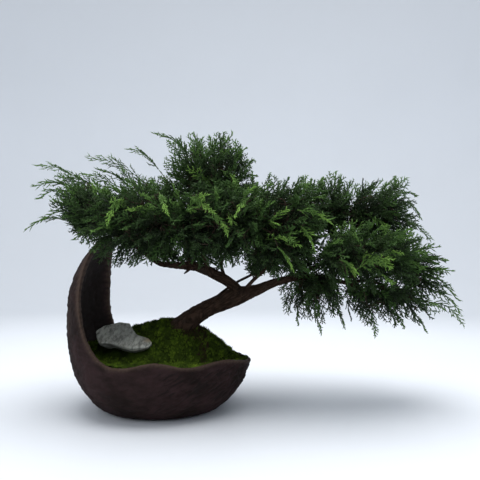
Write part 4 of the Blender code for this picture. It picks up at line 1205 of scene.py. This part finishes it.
def spray_pattern(rng, width, branchlets, chain):
    """Sprigs of one spray that lies along +X from root to tip, one unit long.

    Each row holds the root, the tip, the girth, how far out it is and the row it grows from.
    """
    bend = rng.uniform(-0.10, 0.10)

    def axis(t):
        return np.array([t, bend * math.sin(t * 2.6), 0.02 * math.sin(t * 9)])

    rows = []
    for k in range(chain):
        rows.append((axis(k / chain), axis((k + 1.15) / chain), 1.0 - 0.3 * k / chain, k / chain, k - 1))
    for k in range(branchlets):
        t = 0.10 + 0.86 * k / (branchlets - 1)
        side = 1 if k % 2 else -1
        length = (width * (1 - t) ** 0.7 + 0.07) * rng.uniform(0.8, 1.15)
        angle = math.radians(rng.uniform(*BRANCHLET_ANGLES))
        roll = rng.uniform(-0.75, 0.75)
        heading = np.array([math.cos(angle), side * math.sin(angle) * math.cos(roll),
                            math.sin(angle) * math.sin(roll)])
        parent = min(chain - 1, int(t * chain))
        root = axis(t)
        parts = max(1, round(length / LINK_LENGTH))
        for j in range(parts):
            tip = root + heading * (length / parts) * LINK_OVERLAP
            out = min(1.0, t + (j + 1) / parts * length)
            rows.append((root, tip, 0.92 - 0.25 * j / parts, out, parent))
            parent = len(rows) - 1
            flank = unit(np.cross(heading, [0.0, math.sin(roll), math.cos(roll)]))
            for way in (1, -1):
                if rng.random() < 0.2 or length < 0.12:
                    continue
                lift = np.array([rng.uniform(-reach, reach) for reach in (0.1, 0.1, 0.35)])
                sprig = unit(heading * 0.80 + flank * way * 0.60 + lift)
                start = root + (tip - root) * rng.uniform(0.35, 0.8)
                rows.append((start, start + sprig * rng.uniform(*SPRIG_LENGTHS), 0.8, out, parent))
            heading = unit(heading + np.array([0.22, 0, 0]) + [rng.uniform(-0.1, 0.1) for _ in range(3)])
            root = root + (tip - root) / LINK_OVERLAP
    keys = ("roots", "tips", "girth", "out", "parent")
    return {key: np.array(column) for key, column in zip(keys, zip(*rows))}


def box_share(offset, half):
    """How far out a point is in a rounded box: nought at its middle and one on its surface."""
    return np.sum(np.abs(offset / half) ** FULLNESS, axis=-1) ** (1 / FULLNESS)


def cell_of(spec):
    """Planes that part a mass from its neighbours, as arrays of points and outward normals."""
    centre = np.array(spec["centre"]) * MM
    origins, normals = [], []
    for other in MASSES:
        if other is spec:
            continue
        line = np.array(other["centre"]) * MM - centre
        distance = np.linalg.norm(line)
        normal = line / distance
        own, theirs = [1 / box_share(normal, np.array(one["half"]) * MM) for one in (spec, other)]
        origins.append(centre + normal * (distance * own / (own + theirs) - CELL_MARGIN))
        normals.append(normal)
    return np.array(origins), np.array(normals)


def spread(count, turn):
    """Unit vectors spread evenly over a sphere by the golden angle."""
    k = np.arange(count)
    z = 1 - 2 * (k + 0.5) / count
    ring = np.sqrt(1 - z * z)
    angle = turn + math.pi * (3 - math.sqrt(5)) * k
    return np.stack([ring * np.cos(angle), ring * np.sin(angle), z], 1)


def in_box(points):
    """Which points keep inside the solids' own box."""
    low, high = np.array(CAD_BOX)
    return np.all(points > low + BOX_MARGIN, 1) & np.all(points < high - BOX_MARGIN, 1)


class Mass:
    """One mass of foliage: its space, its twigs and its sprays."""

    def __init__(self, spec, number, obstacles):
        self.spec = spec
        self.rng = random.Random(SEED + number)
        self.centre = np.array(spec["centre"]) * MM
        self.half = np.array(spec["half"]) * MM
        self.sweep = unit(spec["sweep"])
        self.origins, self.normals = cell_of(spec)
        self.obstacles = obstacles
        self.twigs = []
        self.sprays = []

    def inside(self, points):
        """Which points keep to the mass's space."""
        ok = np.ones(len(points), bool)
        for origin, normal in zip(self.origins, self.normals):
            ok &= (points - origin) @ normal < 0
        x, z, right, up = TRIMS.get(self.spec["name"], (0, 0, 0, 0))
        ok &= (points[:, 0] - x * MM) * right + (points[:, 2] - z * MM) * up >= 0
        return ok & in_box(points)

    def clear(self, points):
        """Which points stand clear of limbs, pot and stone."""
        find = self.obstacles.find_nearest
        return np.array([find(point, LIMB_CLEAR)[0] is None for point in points.tolist()])

    def drawn_in(self, points):
        """Points pulled toward the centre until they are inside the space."""
        points = points.copy()
        for _ in range(14):
            out = ~self.inside(points)
            if not out.any():
                break
            points[out] = self.centre + (points[out] - self.centre) * 0.92
        return points

    def surface(self, direction, share):
        """The point that lies a share of the way out to the rounded box's surface."""
        ray = direction * self.half
        return self.centre + ray * share / box_share(ray, self.half)

    def jitter(self, size):
        return np.array([self.rng.uniform(-size, size) for _ in range(3)])

    def grow(self, count, length):
        """Stem, twigs and sprays by the source's rule, carried one order further."""
        points = np.array(BOUGHS[self.spec["bough"]], float)
        start = points[-1, :3] * MM
        heading = unit(points[-1, :3] - points[-2, :3])
        heart = self.centre + self.sweep * HEART_SHIFT
        knee = (start + heart) / 2 + heading * 0.18 * np.linalg.norm(heart - start)
        stem = [start - heading * 4 * MM, start + heading * 1.5 * MM,
                (start + knee) / 2 + self.jitter(1 * MM), knee,
                (knee + heart) / 2 + self.jitter(1.5 * MM), heart]
        self.twigs.append((np.array(stem), points[-1, 3] * MM, STEM_GIRTH))
        nodes = stem[3:]
        for direction in spread(TWIGS, self.rng.uniform(0, math.tau)):
            share = self.rng.uniform(*TWIG_SHARES)
            end = self.drawn_in(self.surface(direction, share)[None])[0]
            root = knee + (heart - knee) * self.rng.uniform(0.2, 1.0)
            nodes += self.twig(root, end)
        self.nodes = np.array(nodes)
        self.place_sprays(count, length)
        self.runners(length)
        name = self.spec["name"]
        for root, tip, sag in LONG_SHOOTS.get(name, ()):
            self.arch(np.array(root) * MM, np.array(tip) * MM, sag, SHOOT_START, FRESH)
        for root, tip in BRIGHT_SHOOTS.get(name, ()):
            self.arch(np.array(root) * MM, np.array(tip) * MM, SHOOT_SAG, 0.0, BRIGHT)

    def twig(self, root, end):
        """A gently bent twig; its nodes are returned for the sprays to grow from."""
        length = np.linalg.norm(end - root)
        bow = (self.sweep * 0.5 + np.array([0, 0, 0.5])) * 0.14 * length + self.jitter(0.06 * length)
        t = np.linspace(0, 1, TWIG_PARTS + 1)[:, None]
        path = root + (end - root) * t + bow * np.sin(t * math.pi)
        self.twigs.append((path, *TWIG_GIRTHS))
        return list(path[1:])

    def place_sprays(self, count, length):
        """Sprays at three depths, each joined to the nearest twig by a fine one."""
        for share, part in SPRAY_DEPTHS:
            tips = spread(max(4, round(count * share)), self.rng.uniform(0, math.tau))
            for direction in tips:
                deep = part + self.rng.uniform(-0.07, 0.08)
                tip = self.drawn_in(self.surface(direction, deep)[None])[0]
                offset = (tip - self.centre) / self.half
                away = unit(np.sign(offset) * np.abs(offset) ** 1.4 / self.half)
                lift = 0.30 * max(0.0, direction[2]) - 0.30 * max(0.0, -direction[2])
                along = unit(away * 0.75 + self.sweep * 0.55 + np.array([0, 0, lift]) + self.jitter(0.28))
                root = tip - along * length * self.rng.uniform(*SPRAY_STRETCH)
                self.add_spray(root, tip, self.tint(tip, part))

    def runners(self, length):
        """Longer shoots that break the outline, arching out the way the mass sweeps."""
        for direction in spread(RUNNERS, self.rng.uniform(0, math.tau)):
            heading = unit(direction * 0.8 + self.sweep * 0.7)
            tip = self.surface(heading, self.rng.uniform(*RUNNER_REACH))
            if heading[2] < -0.5 or not self.inside(tip[None])[0]:
                continue
            root = tip - (heading + UP_ARRAY * 0.1) * length * self.rng.uniform(*RUNNER_LENGTH)
            self.arch(root, tip, SHOOT_SAG * self.rng.uniform(0.5, 1.2), RUNNER_START, FRESH)

    def add_spray(self, root, tip, tint):
        """A short spray with a slight droop."""
        reach = tip - root
        size = np.linalg.norm(reach)
        along = reach / size
        droop = -UP_ARRAY * (1 if along[2] > -0.3 else 0.2) + self.sweep * 0.4 + self.jitter(0.5)
        droop = droop - along * (droop @ along)
        bend = droop * 0.12 * size * self.rng.uniform(0.3, 1.2)
        self.keep_spray(root, reach, bend, self.rng.randrange(PATTERNS), tint)
        self.join_twig(root, along)

    def arch(self, root, tip, sag, start, tint):
        """A shoot that leaves its root steeply and nods at its tip; its first part is bare stalk."""
        drop = -UP_ARRAY * sag * np.linalg.norm(tip - root)
        rise = tip - root - drop
        begin = root + rise * start + drop * start ** 2
        pattern = PATTERNS + self.rng.randrange(LONG_PATTERNS)
        self.keep_spray(begin, (1 - start) * (rise + 2 * start * drop), (1 - start) ** 2 * drop,
                        pattern, tint, free=True)
        if start:
            t = np.linspace(0, start, 5)[:, None]
            self.twigs.append((root + rise * t + drop * t * t, FINE_TWIG * 1.8, FINE_TWIG))
        self.join_twig(root, unit(rise))

    def keep_spray(self, root, reach, bend, pattern, tint, free=False):
        """Note a spray; a free one may cross into the space of other masses."""
        along = unit(reach)
        across = unit(np.cross(along, UP_ARRAY + self.jitter(0.9)))
        self.sprays.append(dict(root=root, along=along, across=across, bend=bend, size=np.linalg.norm(reach),
                                pattern=pattern, tint=tint, free=free))

    def join_twig(self, root, along):
        """A fine twig from the nearest node that lies further in."""
        gaps = np.linalg.norm(self.nodes - root, axis=1)
        inward = np.linalg.norm(self.nodes - self.centre, axis=1) - np.linalg.norm(root - self.centre)
        nearest = self.nodes[np.argmin(gaps + 0.8 * np.maximum(inward, 0))]
        t = np.array([[0], [0.5], [1]])
        bow = along * (0.12 * np.linalg.norm(root - nearest))
        path = nearest + (root - nearest) * t + bow * np.sin(t * math.pi)
        self.twigs.append((path, FINE_TWIG * 1.25, FINE_TWIG))

    def bough_growth(self):
        """Short sprays that stand straight on the boughs and close the crown from below."""
        for name, first, last, count in BOUGH_SPRAYS:
            path = smooth_path(TRUNK if name == "trunk" else BOUGHS[name])
            heading = unit(np.gradient(path[:, :3], axis=0))
            end = len(path) - 1
            for k in range(count):
                share = first + (last - first) * (k + self.rng.random()) / count
                at = min(end, round(share * end))
                side = unit(np.cross(heading[at], UP_ARRAY)) * self.rng.uniform(-1.1, 1.1)
                up = UP_ARRAY * self.rng.uniform(0.35, 1.0)
                along = unit(up + side + heading[at] * self.rng.uniform(-0.3, 0.8))
                root = path[at, :3] + along * (path[at, 3] + BOUGH_SPRAY_START)
                reach = along * self.rng.uniform(*BOUGH_SPRAY_LENGTHS) * MM
                bend = -UP_ARRAY * 0.15 * np.linalg.norm(reach) + self.jitter(2 * MM)
                pattern = self.rng.randrange(PATTERNS)
                # painted shade: these sprays under the crown take only darker greens
                self.keep_spray(root, reach, bend, pattern, self.rng.choice((1, 1, 2)), free=True)
                stalk = np.linspace(path[at, :3], root + along * 1.5 * MM, 3)
                self.twigs.append((stalk, FINE_TWIG * 1.5, FINE_TWIG))

    def tint(self, tip, part):
        """Which green a spray has: painted shade inside and below, painted light higher up, bright in the
        new growth.
        """
        # painted shade: the inner sprays take the darkest greens
        if part < 0.6:
            return self.rng.choice((0, 1, 1))
        for place, reach in BRIGHT_SPOTS:
            if np.linalg.norm(tip - np.array(place) * MM) < reach * MM and self.rng.random() < 0.3:
                return BRIGHT
        # painted light and shade: higher sprays take lighter greens, lower and deeper ones darker
        height = (tip[2] - self.centre[2]) / self.half[2]
        value = 2.0 + 0.7 * height + self.rng.uniform(-0.9, 0.9) - (0.8 if part < 0.9 else 0)
        return int(min(FRESH, max(1, value)))

    def sprigs(self, patterns):
        """Roots, tips, girths, tints and sides of every sprig of the mass that keeps to its space."""
        kept = []
        for number in sorted({spray["pattern"] for spray in self.sprays}):
            pattern = patterns[number]
            group = [spray for spray in self.sprays if spray["pattern"] == number]
            column = {key: np.array([spray[key] for spray in group])[:, None] for key in group[0]}
            root, tip = [self.bent(pattern[key], column) for key in ("roots", "tips")]
            size = root.shape[:2]
            flat_root, flat_tip = root.reshape(-1, 3), tip.reshape(-1, 3)
            free = np.repeat(column["free"].ravel(), size[1])
            ok = in_box(flat_tip) & (free | (self.inside(flat_tip) & self.inside(flat_root)))
            ok[ok] = self.clear((flat_tip[ok] + flat_root[ok]) / 2) & self.clear(flat_tip[ok])
            ok = ok.reshape(size)
            for row, parent in enumerate(pattern["parent"]):
                if parent >= 0:
                    ok[:, row] &= ok[:, parent]
            tone = np.minimum(column["tint"] + (pattern["out"] > OUTER_PART)[None, :], len(TINTS) - 1)
            girth = np.broadcast_to(pattern["girth"], size)
            side = np.repeat(column["across"], size[1], 1)
            kept.append([part[ok] for part in (root, tip, girth, tone, side)])
        return [np.concatenate(parts) for parts in zip(*kept)]

    def bent(self, rows, column):
        """Pattern points carried onto each spray's curved axis."""
        size = column["size"][..., None]
        t = rows[None, :, :1]
        heading = unit(column["along"] * size + 2 * column["bend"] * t)
        side = column["across"] - heading * np.sum(column["across"] * heading, axis=2, keepdims=True)
        side = unit(side)
        flat = np.cross(heading, side)
        wide = np.minimum(size, SPRAY_WIDEST)
        return (column["root"] + column["along"] * size * t + column["bend"] * t * t
                + side * wide * rows[None, :, 1:2] + flat * wide * rows[None, :, 2:3])


def sprig_mesh(roots, tips, girths, sides):
    """Three-sided spikes, closed at the root."""
    heading = unit(tips - roots)
    first = unit(np.cross(heading, sides + heading[:, [1, 2, 0]] * 0.3))
    second = np.cross(heading, first)
    ring = [roots + (first * math.cos(a) + second * math.sin(a)) * (girths * SPRIG_GIRTH)[:, None]
            for a in (0, math.tau / 3, -math.tau / 3)]
    points = np.stack([*ring, tips], 1).reshape(-1, 3)
    face = np.array([(0, 2, 1), (0, 1, 3), (1, 2, 3), (2, 0, 3)])
    triangles = (np.arange(len(roots))[:, None, None] * 4 + face[None]).reshape(-1, 3)
    return points, triangles


def tube(path, thick, thin, sides):
    """A tapering twig closed at both ends by points."""
    path = np.asarray(path)
    heading = unit(np.gradient(path, axis=0))
    side = unit(np.cross(heading, [0.31, 0.17, 0.93]))
    other = np.cross(heading, side)
    radius = np.linspace(thick, thin, len(path))
    rings = []
    for k in range(sides):
        angle = math.tau * k / sides
        rings.append(path + (side * math.cos(angle) + other * math.sin(angle)) * radius[:, None])
    points = np.stack(rings, 1).reshape(-1, 3)
    last = (len(path) - 1) * sides
    faces = []
    for j in range(0, last, sides):
        for k in range(sides):
            a, b = j + k, j + (k + 1) % sides
            faces += [(a, b, b + sides), (a, b + sides, a + sides)]
    tip = len(points)
    ends = np.vstack([path[0] - heading[0] * radius[0], path[-1] + heading[-1] * radius[-1] * 2])
    for k in range(sides):
        after = (k + 1) % sides
        faces += [(k, tip, after), (last + after, tip + 1, last + k)]
    return np.vstack([points, ends]), np.array(faces)[:, ::-1]


def joined(parts):
    """Points and faces of many small meshes as one."""
    points, faces = [], []
    total = 0
    for rows, own_faces in parts:
        points.append(rows)
        faces.append(own_faces + total)
        total += len(rows)
    return np.concatenate(points), np.concatenate(faces)


class BONSAI_OT_foliage(Operator):
    """Grow twigs and sprays of every mass on from the limbs"""

    bl_idname = "bonsai.foliage"
    bl_label = "Foliage"

    def execute(self, context):
        look = context.scene.bonsai_foliage
        rng = random.Random(SEED)
        patterns = [spray_pattern(rng, *form) for count, *form in SPRAY_FORMS for _ in range(count)]
        obstacles = self.obstacles()
        areas = [x * y + y * z + x * z for x, y, z in (spec["half"] for spec in MASSES)]
        greens = [Look(f"foliage_{k}", Roughness=0.62, Base_Color=(*tint, 1), Specular_IOR_Level=0.22)
                  .material for k, tint in enumerate(TINTS)]
        wood = self.wood(look)
        for number, spec in enumerate(MASSES):
            name = spec["name"]
            mass = Mass(spec, number, obstacles)
            share = areas[number] / sum(areas) * OPEN_MASSES.get(name, 1.0)
            mass.grow(round(look.sprays * share), look.spray)
            if name == BOUGH_SPRAY_MASS:
                mass.bough_growth()
            roots, tips, girths, tints, sides = mass.sprigs(patterns)
            points, triangles = sprig_mesh(roots, tips, girths, sides)
            leaves = mesh_piece(f"sprays_{name}", points, triangles, np.repeat(tints, 4), greens)
            hand_over(leaves, "foliage", f"foliage_{name}")
            points, triangles = joined([tube(path, thick, thin, 5 if thick > ROUND_TWIG else 3)
                                        for path, thick, thin in mass.twigs])
            twigs = mesh_piece(f"twigs_{name}", points, triangles, np.zeros(len(triangles)), [wood])
            hand_over(twigs, "bark")
        return {"FINISHED"}

    def obstacles(self):
        """One search tree over the limbs, pot and stone."""
        points, faces = [], []
        for name in ("pot", "stone", "trunk", *BOUGHS):
            mesh = frame["nodes"][name].data
            first = len(points)
            points += [vertex.co.copy() for vertex in mesh.vertices]
            faces += [[first + k for k in polygon.vertices] for polygon in mesh.polygons]
        return BVHTree.FromPolygons(points, faces)

    def wood(self, look):
        finish = Look("young_wood", Roughness=0.85, Specular_IOR_Level=0.25)
        grain = finish.stepped(finish.grain(300, 3, 0.6), 0.35, 0.65)
        finish.feed("Base Color", finish.blend(shade(look.twig, 0.5), shade(look.twig, 1.5), grain))
        return finish.material


# Stage

class BONSAI_OT_stage(Operator):
    """Lay the pale floor, hang the soft lights and place the camera"""

    bl_idname = "bonsai.stage"
    bl_label = "Stage"

    def execute(self, context):
        look = context.scene.bonsai_stage
        floor = self.floor(look)
        self.lights(look)
        self.camera()
        context.scene.view_settings.view_transform = "Standard"
        return {"FINISHED"}

    def floor(self, look):
        """A flat disc whose edge sweeps up all round."""
        fresh()
        bpy.ops.mesh.primitive_circle_add(vertices=FLOOR_SIDES, radius=look.reach)
        floor = started("floor")
        edit()
        for k in range(SWEEP_STEPS):
            first, second = [math.radians(90 * part / SWEEP_STEPS) for part in (k, k + 1)]
            wide = (look.reach + math.sin(second)) / (look.reach + math.sin(first))
            rise = math.cos(first) - math.cos(second)
            bpy.ops.mesh.extrude_edges_move(TRANSFORM_OT_translate={"value": (0, 0, rise)})
            bpy.ops.transform.resize(value=(wide, wide, 1), center_override=(0, 0, 0))
        bpy.ops.mesh.extrude_edges_move(TRANSFORM_OT_translate={"value": (0, 0, WALL_HEIGHT)})
        bpy.ops.mesh.select_mode(type="VERT")
        bpy.ops.mesh.select_all(action="DESELECT")
        bpy.ops.object.mode_set(mode="OBJECT")
        for vertex in floor.data.vertices:
            vertex.select = vertex.co.z < MM
        bpy.ops.object.mode_set(mode="EDIT")
        bpy.ops.mesh.edge_face_add()
        close_up(inside=True)
        bpy.ops.object.shade_smooth_by_angle(angle=math.radians(30))
        finish = Look("pale_floor", Roughness=0.6)
        cloud = finish.grain(3, 3, 0.5)
        finish.feed("Base Color", finish.blend(shade(look.floor, 0.97), look.floor, cloud))
        floor.data.materials.append(finish.material)
        return floor

    def lights(self, look):
        world = bpy.data.worlds.new("soft_room")
        bpy.context.scene.world = world
        world.use_nodes = True
        room = world.node_tree.nodes["Background"]
        room.inputs[0].default_value = ROOM_COLOUR
        room.inputs[1].default_value = ROOM_STRENGTH
        for name, place, size, power, aim in LIGHTS:
            if name == "ceiling":
                place = (*place, look.height)
            bpy.ops.object.light_add(type="AREA", location=place)
            light = started(name)
            light.data.shape = "DISK"
            light.data.size = size
            light.data.energy = power
            light.rotation_euler = (Vector(aim) - Vector(place)).to_track_quat("-Z", "Y").to_euler()

    def camera(self):
        """The photograph's view: just above the rim, looking slightly up."""
        bpy.ops.object.camera_add(location=CAMERA_PLACE, rotation=(math.radians(90) + CAMERA_RISE, 0, 0))
        camera = started("view")
        camera.data.sensor_width = SENSOR
        camera.data.lens = LENS
        camera.data.clip_start = 0.01
        bpy.context.scene.camera = camera


class BONSAI_PT_panel(Panel):
    """Sizes, colours and steps of the bonsai"""

    bl_label = "Bonsai"
    bl_space_type = "VIEW_3D"
    bl_region_type = "UI"
    bl_category = "Bonsai"

    def draw(self, context):
        for step, group in STEPS:
            box = self.layout.box()
            box.operator(step.bl_idname)
            looks = getattr(context.scene, group)
            for key in looks.__annotations__:
                box.prop(looks, key)


STEPS = (
    (BONSAI_OT_stage, "bonsai_stage"), (BONSAI_OT_pot, "bonsai_pot"), (BONSAI_OT_ground, "bonsai_ground"),
    (BONSAI_OT_stone, "bonsai_ground"), (BONSAI_OT_limbs, "bonsai_bark"),
    (BONSAI_OT_foliage, "bonsai_foliage"),
)
GROUPS = {
    "bonsai_pot": BonsaiPotLook, "bonsai_ground": BonsaiGroundLook, "bonsai_bark": BonsaiBarkLook,
    "bonsai_foliage": BonsaiFoliageLook, "bonsai_stage": BonsaiStageLook,
}


def register():
    for name, group in GROUPS.items():
        bpy.utils.register_class(group)
        setattr(bpy.types.Scene, name, PointerProperty(type=group))
    for step, _ in STEPS:
        bpy.utils.register_class(step)
    bpy.utils.register_class(BONSAI_PT_panel)


def unregister():
    bpy.utils.unregister_class(BONSAI_PT_panel)
    for step, _ in reversed(STEPS):
        bpy.utils.unregister_class(step)
    for name, group in GROUPS.items():
        delattr(bpy.types.Scene, name)
        bpy.utils.unregister_class(group)


def main():
    register()
    bpy.ops.bonsai.stage()
    bpy.ops.bonsai.pot()
    bpy.ops.bonsai.ground()
    bpy.ops.bonsai.stone()
    bpy.ops.bonsai.limbs()
    bpy.ops.bonsai.foliage()


if __name__ == "__main__":
    main()
